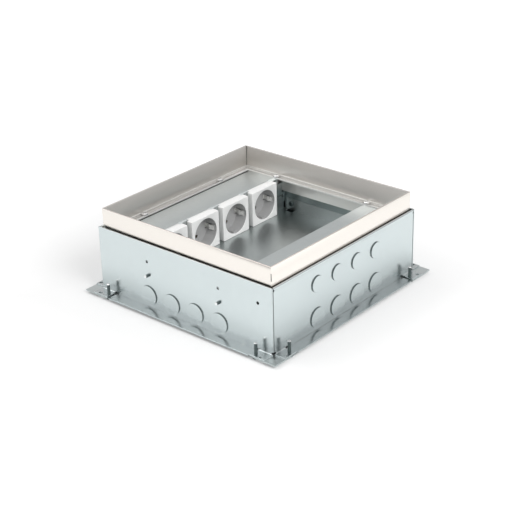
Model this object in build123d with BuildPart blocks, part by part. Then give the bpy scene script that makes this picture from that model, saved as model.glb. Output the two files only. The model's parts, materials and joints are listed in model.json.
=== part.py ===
"""Floor socket box: a galvanised sheet box for a screed floor, with a height-adjustable
stainless collar that frames the lid recess, a row of four earthed sockets on one side and
a blank carrier on the other.

Origin: centre of the box on the floor, under the levelling feet. +Z is up.
The socket row stands on the -X side and faces +X. All sizes are in millimetres.
"""
from build123d import *
import os

os.makedirs("parts", exist_ok=True)

# Driving sizes of the galvanised box
box_side = 280.0          # outer width across two walls
wall_height = 86.0        # wall above the foot flange
sheet = 1.5               # galvanised sheet
foot_height = 5.0         # top of the foot flange above the floor
flange_reach = 15.5       # how far the foot flange stands out
slot_place = 116.0        # relief slot in the flange, from the box centre
slot_width = 1.8
relief_radius = 1.9       # round relief where a slot meets the wall
seam = 0.2                # gap left between two sheets at a corner
corner_relief = 3.0       # notch at the foot of each corner
hem_height = 3.4          # folded rim of the two side walls
hem_proud = 0.3           # how far the fold bulges outwards
hem_inward = 1.3          # how far the fold reaches inwards
hem_relief = 1.3          # round relief at each end of the fold

# Knockouts for conduit, pushed out of the walls and still held by a thin web
knockout_pitch = 38.5
big_knockout_radius = 12.5
small_knockout_radius = 10.2
big_knockout_up = 16.0    # centre above the flange top
small_knockout_up = 60.2
knockout_push = 1.3       # how far a disc is pushed out
knockout_web = 0.25       # width of the web that holds it

# Fixing holes in the corner tabs, and the levelling screws beside them
tab_hole_along = 132.0
tab_hole_out = 12.2       # beyond the wall's outer face
tab_hole_radius = 2.25
stud_along = 121.0
stud_out = 8.2
stud_radius = 2.0
stud_top = 15.4           # above the flange top
foot_disc_radius = 4.2
foot_disc_thickness = 1.2
nut_across_flats = 7.0
nut_clearance = 0.1       # under the nut, over the foot disc
thread_play = 0.05        # radial, where a screw runs in its thread
hole_play = 0.3           # radial, where a screw passes a plain hole
driver_slot = 0.8         # slot in a screw's end
driver_depth = 1.0
stud_chamfer = 0.5
stud_turn = 37.0          # each screw stopped at another angle

# Extra holes in the front and back walls
wall_hole_up = 61.6
wall_hole_radius = 2.0
wall_hole_across = 57.8
earth_hole_across = 118.4

# Inner tray
tray_top_up = 33.5        # above the flange top
tray_sheet = 1.2
tray_half_width = 100.0
upstand_height = 16.0
upstand_half_width = 66.0
upstand_notch_width = 12.0
upstand_notch_depth = 8.0
tray_screw_up = 42.7
tray_screw_radius = 2.0
tray_screw_stub = 5.5     # end that shows outside the wall
pan_head_radius = 3.8
pan_head_height = 2.4

# Stainless collar with the lid ledge
collar_inset = 4.25       # from the box's outer face to the collar's
collar_sheet = 2.0
collar_top_up = 110.0     # above the flange top
collar_bottom_up = 60.5
ledge_up = 81.5           # ledge top above the flange top
ledge_width = 11.0
ledge_thickness = 2.0
ledge_rim = 1.5           # raised outer rim that is welded to the collar
ledge_rim_height = 0.8
ledge_groove_width = 4.0
ledge_groove_depth = 0.6
corner_slit_height = 9.5
corner_slit_low_up = 92.3
corner_slit_width = 0.8
corner_slit_depth = 2.6
mitre_line = 0.35         # open line along each inner mitre

# Adjusting screws of the collar, captive in the ledge, threaded in the brackets
lift_travel = 20.0
lift_screw_radius = 2.5
lift_head_radius = 4.5
lift_head_height = 2.6
lift_head_round = 1.0
lift_cross_length = 5.2   # cross recess in the head
lift_turn = 20.0          # each screw stopped at another angle
lift_thread_held = 1.0    # thread still in the bracket at the top of the travel
lift_ring_radius = 4.0    # retaining ring under the ledge
lift_ring_thickness = 1.4
lift_ring_play = 0.1
lift_screw_along_x = 75.0   # on the front and back ledges
lift_screw_along_y = 71.6   # on the left and right ledges
lift_screw_in = 6.4         # from the collar's inner face to the screw's centre
bracket_collar_gap = 3.5    # from the bracket up to the collar's lower edge
bracket_thickness = 3.0
bracket_drop = 14.0
bracket_leg = 2.0
bracket_width = 10.0
bracket_edge = 3.4          # beside the screw's centre, towards the knockouts

# Socket carriers
strip_thickness = 1.2
strip_inner = 75.0        # edge of the top strip, from the box centre
strip_ledge_gap = 5.25    # from the strip's outer edge to the ledge
strip_end_gap = 1.55      # from the ledge to the strips' ends, before the shift
strip_shift = 1.1         # the two carriers are pushed apart lengthways by this
strip_lip = 10.0          # downturned back edge
panel_sheet = 1.0
panel_face = 70.8         # visible face of the upright panel, from the box centre
panel_half_length = 136.2
panel_end_up = 71.7       # top of the panel beyond the last rib
panel_collar_gap = 0.6    # from the panel's upper end to the collar
panel_foot = 20.0         # foot that lies on the tray
panel_foot_half = 112.0
rib_width = 16.0
rib_notch_radius = 1.0
end_slot_low_up = 50.5
end_slot_high_up = 60.2
end_slot_width = 3.6
rivet_radius = 1.6
rivet_head_radius = 3.0
rivet_head_height = 0.9
rivet_edge = 5.0          # from the foot's back edge to a rivet

# Earthed sockets
socket_count = 4
socket_pitch = 58.0
face_width = 50.0
face_height = 47.6
face_front = 62.1         # front of the socket face, from the box centre
neck_width = 41.4
neck_height = 45.0
recess_radius = 20.2
recess_depth = 17.5
recess_floor = 2.0
pin_spacing = 19.0
pin_hole_radius = 2.6
guide_width = 7.0         # flat key on each side of the recess
guide_depth = 1.9
guide_sunk = 0.2          # how far a key reaches into the recess wall
guide_front = 2.5         # keys and clip channels start this far behind the face
face_corner = 1.2
face_edge = 0.5
latch_width = 2.0
latch_height = 3.4
latch_depth = 0.8
housing_depth = 26.0
housing_width = 40.0
housing_height = 42.0
housing_corner = 2.0
part_gap = 0.1            # between faces of parts that are clipped together
clip_width = 6.5
clip_sheet = 0.8
clip_channel = 0.6        # depth of the channel for the clip's arm, beyond the recess
clip_channel_play = 0.15  # left outside the arm
clip_side_play = 0.8      # left beside the arm
clip_front_back = 4.4     # how far the arm's end stays behind the face
clip_bulge = 2.6
clip_room = 1.0           # the channel reaches this far past the bulge
clip_rise = 1.0           # the bulge's flat lies this far in front of its middle
clip_fall = 3.0           # and its foot this far behind
sleeve_outer = 3.1
sleeve_bore = 2.3
sleeve_length = 15.0
terminal_side = 7.4
terminal_length = 8.0
terminal_screw_radius = 1.7
terminal_screw_head = 2.6
terminal_head_height = 1.5
terminal_screw_short = 1.0  # the screw ends this far before the clamp's front
terminal_turn = 30.0

# Earth stud welded to the base plate, behind the left row
earth_radius = 3.0
earth_height = 16.0
earth_chamfer = 0.6
earth_across = 126.0
earth_nut_flats = 10.0
earth_nut_height = 5.0
earth_washer_radius = 6.2
earth_washer_thickness = 1.2

# Heights and places worked out from the driving sizes
wall_half = box_side / 2
inner_half = wall_half - sheet
flange_top = foot_height
flange_bottom = flange_top - sheet
tab_top = flange_top + sheet
wall_top = flange_top + wall_height
flange_half = wall_half + flange_reach
slot_inside = slot_place - slot_width / 2
slot_outside = slot_place + slot_width / 2
tray_top = flange_top + tray_top_up
tray_bottom = tray_top - tray_sheet
collar_half = wall_half - collar_inset
collar_inner = collar_half - collar_sheet
collar_top = flange_top + collar_top_up
collar_bottom = flange_top + collar_bottom_up
ledge_top = flange_top + ledge_up
ledge_bottom = ledge_top - ledge_thickness
ledge_inner = collar_inner - ledge_width
strip_outer = ledge_inner - strip_ledge_gap
strip_half_length = ledge_inner - strip_end_gap
bracket_top = collar_bottom - bracket_collar_gap
bracket_bottom = bracket_top - bracket_thickness
strip_bottom = ledge_top - strip_thickness
panel_end = flange_top + panel_end_up
panel_step = collar_bottom - panel_collar_gap
panel_upper_half = collar_inner - panel_collar_gap
rivet_out = panel_face + panel_foot - rivet_edge
face_low = tray_top + part_gap
face_middle = face_low + face_height / 2
neck_back = face_front + recess_depth + recess_floor
housing_front = neck_back + part_gap
lift_screw_out = collar_inner - lift_screw_in
lift_tip = bracket_bottom - lift_travel + lift_thread_held
knockout_places = [(k - 1.5) * knockout_pitch for k in range(4)]
socket_places = [(k - (socket_count - 1) / 2) * socket_pitch for k in range(socket_count)]
rib_places = [(k - socket_count / 2) * socket_pitch for k in range(socket_count + 1)]
stud_ring = wall_half + stud_out
hole_ring = wall_half + tab_hole_out

# One corner's tab holes and studs lie on both walls that meet there
corner_signs = [(-1, -1), (1, -1), (1, 1), (-1, 1)]
stud_places = []
hole_places = []
for sign_x, sign_y in corner_signs:
    stud_places.append((sign_x * stud_along, sign_y * stud_ring))
    stud_places.append((sign_x * stud_ring, sign_y * stud_along))
    hole_places.append((sign_x * tab_hole_along, sign_y * hole_ring))
    hole_places.append((sign_x * hole_ring, sign_y * tab_hole_along))


def finish(piece, label):
    """Name a finished piece and write it to its own file."""
    piece.part.label = label
    export_step(piece.part, f"parts/{label}.step")


def wall_sketch_plane(turn, distance):
    """Upright plane of one wall, facing outwards, at a distance from the box centre.

    The front wall has turn 0; the others are turned about Z by the given angle."""
    outward = Vector(0, -1, 0).rotate(Axis.Z, turn)
    along = Vector(1, 0, 0).rotate(Axis.Z, turn)
    return Plane(origin=outward * distance, x_dir=along, z_dir=outward)


def make_wall(label, turn, half_length, rows, holes, screws, hemmed):
    """One wall of the box with its foot flange, its corner tabs and its knockouts."""
    outer = wall_sketch_plane(turn, wall_half)
    inner = wall_sketch_plane(turn, inner_half)
    flat = Plane.XY.rotated((0, 0, turn))
    with BuildPart() as wall:
        with BuildSketch(inner):
            with BuildLine():
                Polyline(
                    (-half_length, flange_top), (-slot_outside, flange_top),
                    (-slot_outside, flange_bottom), (slot_outside, flange_bottom),
                    (slot_outside, flange_top), (half_length, flange_top),
                    (half_length, wall_top), (-half_length, wall_top), close=True,
                )
            make_face()
        extrude(amount=sheet)
        # Middle flange, at the level of the base plate
        with BuildSketch(flat.offset(flange_bottom)):
            with Locations((0, -(wall_half + flange_half) / 2)):
                Rectangle(2 * slot_inside, flange_reach)
        extrude(amount=sheet)
        # Corner tabs, one sheet higher, on the ears of the base plate
        tab_end = half_length - seam
        with BuildSketch(flat.offset(flange_top)):
            for side in (-1, 1):
                with Locations((side * (slot_outside + tab_end) / 2, -(inner_half + flange_half) / 2)):
                    Rectangle(tab_end - slot_outside, flange_half - inner_half)
        extrude(amount=sheet)
        # Slots and their round relief at the wall
        with BuildSketch(outer):
            with Locations((-slot_place, flange_top), (slot_place, flange_top)):
                Circle(relief_radius)
        extrude(amount=-sheet, mode=Mode.SUBTRACT)
        # Holes of the corner tabs
        with BuildSketch(flat.offset(flange_top)):
            for side in (-1, 1):
                with Locations((side * tab_hole_along, -hole_ring)):
                    Circle(tab_hole_radius)
                with Locations((side * stud_along, -stud_ring)):
                    Circle(stud_radius + hole_play)
        extrude(amount=sheet, mode=Mode.SUBTRACT)
        # Knockout discs
        for radius, height in rows:
            discs = [(place, flange_top + height) for place in knockout_places]
            with BuildSketch(outer):
                with Locations(*discs):
                    Circle(radius)
            extrude(amount=knockout_push)
            with BuildSketch(inner):
                with Locations(*discs):
                    Circle(radius - knockout_web)
            extrude(amount=knockout_push, mode=Mode.SUBTRACT)
        # Plain holes
        if holes:
            with BuildSketch(inner):
                with Locations(*[(across, flange_top + wall_hole_up) for across in holes]):
                    Circle(wall_hole_radius)
            extrude(amount=sheet, mode=Mode.SUBTRACT)
        if screws:
            with BuildSketch(inner):
                with Locations(*[(across, flange_top + tray_screw_up) for across in screws]):
                    Circle(tray_screw_radius + thread_play)
            extrude(amount=sheet, mode=Mode.SUBTRACT)
        # Folded rim
        if hemmed:
            with BuildSketch(wall_sketch_plane(turn, inner_half - hem_inward)):
                with Locations((0, wall_top - hem_height / 2)):
                    Rectangle(2 * half_length, hem_height)
            extrude(amount=sheet + hem_inward + hem_proud)
            with BuildSketch(outer.offset(hem_proud)):
                for side in (-1, 1):
                    with Locations((side * half_length, wall_top - hem_height)):
                        Circle(hem_relief)
            extrude(amount=-(sheet + hem_inward + hem_proud), mode=Mode.SUBTRACT)
        # Notch at the foot of each corner
        with BuildSketch(outer):
            for side in (-1, 1):
                with Locations((side * half_length, tab_top + corner_relief / 2)):
                    Rectangle(2 * corner_relief, corner_relief)
        extrude(amount=-sheet, mode=Mode.SUBTRACT)
    finish(wall, label)


big_row = (big_knockout_radius, big_knockout_up)
small_row = (small_knockout_radius, small_knockout_up)
wall_holes = [-wall_hole_across, wall_hole_across, earth_hole_across]
tray_screw_places = [-wall_hole_across, wall_hole_across]
side_half = inner_half - seam
make_wall("wall_front", 0, wall_half, [big_row], wall_holes, tray_screw_places, False)
make_wall("wall_back", 180, wall_half, [big_row], wall_holes, tray_screw_places, False)
make_wall("wall_left", -90, side_half, [big_row, small_row], [], [], True)
make_wall("wall_right", 90, side_half, [big_row, small_row], [], [], True)

# Base plate with an ear at each corner, under the tabs of the walls
ear_side = flange_half - slot_outside
ear_middle = (flange_half + slot_outside) / 2
with BuildPart() as base_plate:
    with BuildSketch(Plane.XY.offset(flange_bottom)) as base_outline:
        Rectangle(2 * (inner_half - seam), 2 * (inner_half - seam))
        with Locations(*[(sx * ear_middle, sy * ear_middle) for sx, sy in corner_signs]):
            Rectangle(ear_side, ear_side)
        with Locations(*hole_places):
            Circle(tab_hole_radius, mode=Mode.SUBTRACT)
        with Locations(*stud_places):
            Circle(stud_radius + hole_play, mode=Mode.SUBTRACT)
    extrude(amount=sheet)
finish(base_plate, "base_plate")

# Levelling nuts, welded under the ears
nut_low = foot_disc_thickness + nut_clearance
with BuildPart() as levelling_nuts:
    with BuildSketch(Plane.XY.offset(nut_low)):
        with Locations(*stud_places):
            RegularPolygon(nut_across_flats / 2, 6, major_radius=False)
        with Locations(*stud_places):
            Circle(stud_radius + thread_play, mode=Mode.SUBTRACT)
    extrude(amount=flange_bottom - nut_low)
finish(levelling_nuts, "levelling_nuts")

# Levelling screws: a foot disc, a threaded shank and a slotted end
for number, (place_x, place_y) in enumerate(stud_places, start=1):
    with BuildPart() as levelling_screw:
        with BuildSketch(Plane.XY):
            with Locations((place_x, place_y)):
                Circle(foot_disc_radius)
        extrude(amount=foot_disc_thickness)
        with BuildSketch(Plane.XY):
            with Locations((place_x, place_y)):
                Circle(stud_radius)
        extrude(amount=flange_top + stud_top)
        chamfer(levelling_screw.edges().group_by(Axis.Z)[-1], stud_chamfer)
        with BuildSketch(Plane.XY.offset(flange_top + stud_top)):
            with Locations((place_x, place_y)):
                Rectangle(3 * stud_radius, driver_slot, rotation=stud_turn * number)
        extrude(amount=-driver_depth, mode=Mode.SUBTRACT)
    finish(levelling_screw, f"levelling_screw_{number}")

# Inner tray: a raised floor with an upstand at each end
with BuildPart() as tray:
    with BuildSketch(Plane.XY.offset(tray_bottom)):
        Rectangle(2 * tray_half_width, 2 * inner_half)
        for sign in (-1, 1):
            for across in tray_screw_places:
                with Locations((across, sign * (inner_half - upstand_notch_depth / 2))):
                    Rectangle(upstand_notch_width, upstand_notch_depth, mode=Mode.SUBTRACT)
    extrude(amount=tray_sheet)
    with BuildSketch(Plane.XY.offset(tray_top)):
        for sign in (-1, 1):
            with Locations((0, sign * (inner_half - tray_sheet / 2))):
                Rectangle(2 * upstand_half_width, tray_sheet)
    extrude(amount=upstand_height)
    with BuildSketch(Plane.XZ.offset(inner_half)):
        with Locations(*[(across, flange_top + tray_screw_up) for across in tray_screw_places]):
            Circle(tray_screw_radius + hole_play)
    extrude(amount=-2 * inner_half, mode=Mode.SUBTRACT)
    with BuildSketch(Plane.XY.offset(tray_bottom)):
        for side in (-1, 1):
            for rib in rib_places[1:-1]:
                with Locations((side * rivet_out, rib)):
                    Circle(rivet_radius + thread_play)
    extrude(amount=tray_sheet, mode=Mode.SUBTRACT)
finish(tray, "tray")

# Tray screws: pan heads inside, ends showing outside the front and back walls
with BuildPart() as tray_screws:
    spots = [(across, flange_top + tray_screw_up) for across in tray_screw_places]
    for sign in (-1, 1):
        head_plane = Plane(
            origin=(0, sign * (inner_half - tray_sheet), 0),
            x_dir=(sign, 0, 0),
            z_dir=(0, -sign, 0),
        )
        with BuildSketch(head_plane):
            with Locations(*spots):
                Circle(pan_head_radius)
        extrude(amount=pan_head_height)
        with BuildSketch(head_plane):
            with Locations(*spots):
                Circle(tray_screw_radius)
        extrude(amount=-(tray_sheet + sheet + tray_screw_stub))
finish(tray_screws, "tray_screws")

# Stainless collar: four mitred sides, welded at the corners
with BuildPart() as collar:
    with BuildSketch(Plane.XY.offset(collar_bottom)):
        Rectangle(2 * collar_half, 2 * collar_half)
        Rectangle(2 * collar_inner, 2 * collar_inner, mode=Mode.SUBTRACT)
    extrude(amount=collar_top - collar_bottom)
    # Open line along the inside of each mitre
    with BuildSketch(Plane.XY.offset(collar_bottom)):
        for sx, sy in corner_signs:
            with Locations((sx * collar_inner, sy * collar_inner)):
                Rectangle(mitre_line * 2, mitre_line * 2, rotation=45)
    extrude(amount=collar_top - collar_bottom, mode=Mode.SUBTRACT)
    # Short open stretch of the weld at each corner
    with BuildSketch(Plane.XY.offset(flange_top + corner_slit_low_up)):
        for sx, sy in corner_signs:
            with Locations((sx * collar_half, sy * collar_half)):
                Rectangle(corner_slit_depth, corner_slit_width, rotation=45 * sx * sy)
    extrude(amount=corner_slit_height, mode=Mode.SUBTRACT)
finish(collar, "collar")

# Places of the collar's adjusting screws on the four ledges
lift_places = []
for sign_x in (-1, 1):
    for sign_y in (-1, 1):
        lift_places.append((sign_x * lift_screw_out, sign_y * lift_screw_along_y))
for sign_y in (-1, 1):
    for sign_x in (-1, 1):
        lift_places.append((sign_x * lift_screw_along_x, sign_y * lift_screw_out))

# Lid ledge: a flat ring inside the collar with a raised rim and a shallow groove
groove_half = ledge_inner + (ledge_width - ledge_rim) / 2
with BuildPart() as ledge:
    with BuildSketch(Plane.XY.offset(ledge_bottom)):
        Rectangle(2 * collar_inner, 2 * collar_inner)
        Rectangle(2 * ledge_inner, 2 * ledge_inner, mode=Mode.SUBTRACT)
    extrude(amount=ledge_thickness)
    with BuildSketch(Plane.XY.offset(ledge_top)):
        Rectangle(2 * collar_inner, 2 * collar_inner)
        rim_half = collar_inner - ledge_rim
        Rectangle(2 * rim_half, 2 * rim_half, mode=Mode.SUBTRACT)
    extrude(amount=ledge_rim_height)
    with BuildSketch(Plane.XY.offset(ledge_top)):
        groove_out = groove_half + ledge_groove_width / 2
        groove_in = groove_half - ledge_groove_width / 2
        Rectangle(2 * groove_out, 2 * groove_out)
        Rectangle(2 * groove_in, 2 * groove_in, mode=Mode.SUBTRACT)
    extrude(amount=-ledge_groove_depth, mode=Mode.SUBTRACT)
    with BuildSketch(Plane.XY.offset(ledge_bottom)):
        with Locations(*lift_places):
            Circle(lift_screw_radius + hole_play)
    extrude(amount=ledge_thickness, mode=Mode.SUBTRACT)
finish(ledge, "ledge")

# Adjusting screws, held in the ledge by their heads and a ring below it
for number, (place_x, place_y) in enumerate(lift_places, start=1):
    with BuildPart() as lift_screw:
        with BuildSketch(Plane.XY.offset(lift_tip)):
            with Locations((place_x, place_y)):
                Circle(lift_screw_radius)
        extrude(amount=ledge_top - lift_tip)
        with BuildSketch(Plane.XY.offset(ledge_bottom - lift_ring_play)):
            with Locations((place_x, place_y)):
                Circle(lift_ring_radius)
        extrude(amount=-lift_ring_thickness)
        with BuildSketch(Plane.XY.offset(ledge_top)):
            with Locations((place_x, place_y)):
                Circle(lift_head_radius)
        extrude(amount=lift_head_height)
        fillet(lift_screw.edges().group_by(Axis.Z)[-1], lift_head_round)
        with BuildSketch(Plane.XY.offset(ledge_top + lift_head_height)):
            with Locations((place_x, place_y)):
                Rectangle(lift_cross_length, driver_slot, rotation=lift_turn * number)
                Rectangle(driver_slot, lift_cross_length, rotation=lift_turn * number)
        extrude(amount=-driver_depth, mode=Mode.SUBTRACT)
    finish(lift_screw, f"lift_screw_{number}")

# Brackets on the walls, tapped for the adjusting screws
with BuildPart() as brackets:
    for place_x, place_y in lift_places:
        on_side = abs(place_x) > abs(place_y)
        sign_x = 1 if place_x > 0 else -1
        sign_y = 1 if place_y > 0 else -1
        reach = inner_half - lift_screw_out + bracket_width / 2
        if on_side:
            shelf = (reach, bracket_width)
            leg = (bracket_leg, bracket_width)
            shift = sign_y * (bracket_width / 2 - bracket_edge)
            shelf_at = (sign_x * (inner_half - reach / 2), place_y + shift)
            leg_at = (sign_x * (inner_half - bracket_leg / 2), place_y + shift)
        else:
            shelf = (bracket_width, reach)
            leg = (bracket_width, bracket_leg)
            shift = sign_x * (bracket_width / 2 - bracket_edge)
            shelf_at = (place_x + shift, sign_y * (inner_half - reach / 2))
            leg_at = (place_x + shift, sign_y * (inner_half - bracket_leg / 2))
        with BuildSketch(Plane.XY.offset(bracket_bottom)):
            with Locations(shelf_at):
                Rectangle(*shelf)
            with Locations((place_x, place_y)):
                Circle(lift_screw_radius + thread_play, mode=Mode.SUBTRACT)
        extrude(amount=bracket_thickness)
        with BuildSketch(Plane.XY.offset(bracket_top - bracket_drop)):
            with Locations(leg_at):
                Rectangle(*leg)
        extrude(amount=bracket_drop)
finish(brackets, "brackets")


def make_carrier(label, side, sockets):
    """Folded carrier; side is -1 for the left one, 1 for the right one.

    With sockets it has a window and two ribs for each; without, its panel is plain."""
    along = -side * strip_shift
    face = panel_face if sockets else strip_inner
    back = face + panel_sheet
    strip_middle = side * (strip_inner + strip_outer) / 2
    panel_middle = side * (face + back) / 2
    with BuildPart() as carrier:
        # Top strip with its downturned back edge
        with BuildSketch(Plane.XY.offset(strip_bottom)):
            with Locations((strip_middle, along)):
                Rectangle(strip_outer - strip_inner, 2 * strip_half_length)
        extrude(amount=strip_thickness)
        with BuildSketch(Plane.XY.offset(ledge_top - strip_lip)):
            with Locations((side * (strip_outer - strip_thickness / 2), along)):
                Rectangle(strip_thickness, 2 * strip_half_length)
        extrude(amount=strip_lip)
        # Upright panel. With sockets it is long below the collar, shorter inside it and
        # shortest under the strip; the plain one is as long as its strip
        steps = [(tray_top, strip_bottom, along, strip_half_length)]
        if sockets:
            steps = [
                (tray_top, panel_step, 0, panel_half_length),
                (panel_step, panel_end, 0, panel_upper_half),
                (panel_end, strip_bottom, along, strip_half_length),
            ]
        for low, high, shift, half_length in steps:
            with BuildSketch(Plane.XY.offset(low)):
                with Locations((panel_middle, shift)):
                    Rectangle(panel_sheet, 2 * half_length)
            extrude(amount=high - low)
        if sockets:
            # Ribs turn over into the strip between the sockets
            with BuildSketch(Plane.XZ.offset(-along)):
                with BuildLine():
                    Polyline(
                        (side * face, strip_bottom - panel_sheet),
                        (side * face, strip_bottom),
                        (side * strip_inner, ledge_top),
                        (side * (strip_inner + strip_thickness), ledge_top),
                        (side * (strip_inner + strip_thickness), strip_bottom),
                        (side * back, strip_bottom - panel_sheet),
                        close=True,
                    )
                make_face()
            extrude(amount=strip_half_length, both=True)
            # Windows for the socket necks, open to the strip
            window_width = socket_pitch - rib_width
            with BuildSketch(Plane.XY.offset(tray_top + tray_sheet)):
                with Locations(*[(side * (face + strip_inner) / 2, y) for y in socket_places]):
                    Rectangle(strip_inner - face + 2 * part_gap, window_width)
            extrude(amount=ledge_top - tray_top, mode=Mode.SUBTRACT)
            # Round relief notches beside each rib
            with BuildSketch(Plane.XY.offset(strip_bottom)):
                for rib in rib_places:
                    for edge in (-1, 1):
                        with Locations((side * strip_inner, rib + edge * rib_width / 2)):
                            Circle(rib_notch_radius)
            extrude(amount=strip_thickness, mode=Mode.SUBTRACT)
            # Slots at the panel's ends, one for the bracket and one left open
            bracket_slot = bracket_thickness + 2 * hole_play
            slot_length = panel_half_length - lift_screw_out + bracket_width / 2 + hole_play
            with BuildSketch(Plane.YZ.offset(side * face)):
                for end in (-1, 1):
                    with Locations(
                        (end * (panel_half_length - slot_length / 2), bracket_top - bracket_thickness / 2)
                    ):
                        Rectangle(slot_length, bracket_slot)
                    slot_middle = flange_top + (end_slot_low_up + end_slot_high_up) / 2
                    with Locations((end * (panel_half_length - end_slot_width / 2), slot_middle)):
                        Rectangle(end_slot_width, end_slot_high_up - end_slot_low_up)
            extrude(amount=side * panel_sheet, mode=Mode.SUBTRACT)
        # Foot on the tray
        with BuildSketch(Plane.XY.offset(tray_top)):
            with Locations((side * (face + panel_foot / 2), 0)):
                Rectangle(panel_foot, 2 * panel_foot_half)
        extrude(amount=panel_sheet)
        with BuildSketch(Plane.XY.offset(tray_top)):
            with Locations(*[(side * rivet_out, rib) for rib in rib_places[1:-1]]):
                Circle(rivet_radius + thread_play)
        extrude(amount=panel_sheet, mode=Mode.SUBTRACT)
    finish(carrier, label)


make_carrier("carrier_left", -1, True)
make_carrier("carrier_right", 1, False)

# Rivets between the carriers and the tray
with BuildPart() as carrier_rivets:
    rivet_spots = []
    for side in (-1, 1):
        for rib in rib_places[1:-1]:
            rivet_spots.append((side * rivet_out, rib))
    with BuildSketch(Plane.XY.offset(tray_bottom)):
        with Locations(*rivet_spots):
            Circle(rivet_radius)
    extrude(amount=tray_sheet + panel_sheet)
    with BuildSketch(Plane.XY.offset(tray_top + panel_sheet)):
        with Locations(*rivet_spots):
            Circle(rivet_head_radius)
    extrude(amount=rivet_head_height)
finish(carrier_rivets, "carrier_rivets")


def socket_plane(place_y, depth):
    """Plane of one socket, facing +X, a depth behind its front face; its y is up."""
    origin = (-(face_front + depth), place_y, face_middle)
    return Plane(origin=origin, x_dir=(0, 1, 0), z_dir=(1, 0, 0))


def pin_plane(place_y, depth):
    """The same plane with its x up. The pins stand one above the other in each socket."""
    origin = (-(face_front + depth), place_y, face_middle)
    return Plane(origin=origin, x_dir=(0, 0, 1), z_dir=(1, 0, 0))


def make_face_piece(label, place_y):
    """White socket front: a square block with the round recess, and the neck behind it."""
    block_depth = panel_face - face_front - part_gap
    shoulder_depth = strip_inner - part_gap - face_front
    neck_depth = recess_depth + recess_floor
    channel_top = recess_radius + clip_channel
    channel_low = recess_radius - clip_bulge - clip_room
    with BuildPart() as face:
        with BuildSketch(socket_plane(place_y, 0)):
            RectangleRounded(face_width, face_height, face_corner)
        extrude(amount=-block_depth)
        fillet(face.faces().sort_by(Axis.X)[-1].edges(), face_edge)
        # Shoulder flush with the strip, then the neck
        with BuildSketch(socket_plane(place_y, block_depth)):
            with Locations((0, (face_height - neck_height) / 4)):
                Rectangle(neck_width, (face_height + neck_height) / 2)
        extrude(amount=-(shoulder_depth - block_depth))
        with BuildSketch(socket_plane(place_y, shoulder_depth)):
            Rectangle(neck_width, neck_height)
        extrude(amount=-(neck_depth - shoulder_depth))
        # Recess with a flat key on each side
        with BuildSketch(socket_plane(place_y, 0)):
            Circle(recess_radius)
        extrude(amount=-recess_depth, mode=Mode.SUBTRACT)
        with BuildSketch(pin_plane(place_y, recess_depth)):
            Circle(recess_radius + guide_sunk)
            Rectangle(2 * (recess_radius - guide_depth), 3 * recess_radius, mode=Mode.SUBTRACT)
            Rectangle(3 * recess_radius, guide_width, mode=Mode.INTERSECT)
        extrude(amount=recess_depth - guide_front)
        # Pin holes and the channels of the earth clip
        with BuildSketch(pin_plane(place_y, recess_depth)):
            with Locations((-pin_spacing / 2, 0), (pin_spacing / 2, 0)):
                Circle(pin_hole_radius)
        extrude(amount=-recess_floor, mode=Mode.SUBTRACT)
        with BuildSketch(pin_plane(place_y, neck_depth)):
            for end in (-1, 1):
                with Locations((0, end * (channel_top + channel_low) / 2)):
                    Rectangle(clip_width + 2 * clip_side_play, channel_top - channel_low)
        extrude(amount=neck_depth - guide_front, mode=Mode.SUBTRACT)
        # Small window of the side latch
        with BuildSketch(socket_plane(place_y, block_depth)):
            for edge in (-1, 1):
                with Locations((edge * (face_width / 2 - latch_depth / 2), 0)):
                    Rectangle(latch_depth, latch_height)
        extrude(amount=latch_width, mode=Mode.SUBTRACT)
    finish(face, label)


def make_housing(label, place_y):
    """Rear housing of one socket, with bores for the sleeves and pockets for the clamps."""
    front = housing_front - face_front
    with BuildPart() as housing:
        with BuildSketch(socket_plane(place_y, front)):
            RectangleRounded(housing_width, housing_height, housing_corner)
        extrude(amount=-housing_depth)
        # Pocket for the earth clip's base
        with BuildSketch(socket_plane(place_y, front)):
            Rectangle(housing_width, clip_width + 2 * clip_side_play)
        extrude(amount=-(clip_sheet + 2 * part_gap), mode=Mode.SUBTRACT)
        with BuildSketch(pin_plane(place_y, front)):
            with Locations((-pin_spacing / 2, 0), (pin_spacing / 2, 0)):
                Circle(sleeve_outer + hole_play)
        extrude(amount=-(sleeve_length + part_gap), mode=Mode.SUBTRACT)
        with BuildSketch(pin_plane(place_y, front + sleeve_length + part_gap)):
            with Locations((-pin_spacing / 2, 0), (pin_spacing / 2, 0)):
                Rectangle(terminal_side + 2 * hole_play, terminal_side + 2 * hole_play)
        extrude(amount=-(housing_depth - sleeve_length), mode=Mode.SUBTRACT)
    finish(housing, label)


for number, place_y in enumerate(socket_places, start=1):
    make_face_piece(f"socket_face_{number}", place_y)
    make_housing(f"socket_housing_{number}", place_y)

# Earth clips: a base behind each recess and two sprung arms that bulge into it
clip_back = recess_depth + recess_floor + part_gap
clip_outer = recess_radius + clip_channel - clip_channel_play
clip_tip = recess_radius - clip_bulge
clip_knee = (clip_back + clip_front_back) / 2
with BuildPart() as earth_clips:
    for place_y in socket_places:
        section = Plane(origin=(-face_front, place_y, face_middle), x_dir=(-1, 0, 0), z_dir=(0, 0, 1))
        for end in (-1, 1):
            with BuildSketch(section):
                with BuildLine():
                    Polyline(
                        (clip_back, 0),
                        (clip_back + clip_sheet, 0),
                        (clip_back + clip_sheet, end * clip_outer),
                        (clip_knee + clip_fall, end * clip_outer),
                        (clip_knee - clip_rise, end * (clip_tip + clip_sheet)),
                        (clip_front_back, end * (clip_outer - clip_sheet)),
                        (clip_front_back, end * (clip_outer - 2 * clip_sheet)),
                        (clip_knee - clip_rise, end * clip_tip),
                        (clip_knee + clip_fall, end * (clip_outer - clip_sheet)),
                        (clip_back, end * (clip_outer - clip_sheet)),
                        close=True,
                    )
                make_face()
            extrude(amount=clip_width / 2, both=True)
finish(earth_clips, "earth_clips")

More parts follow.
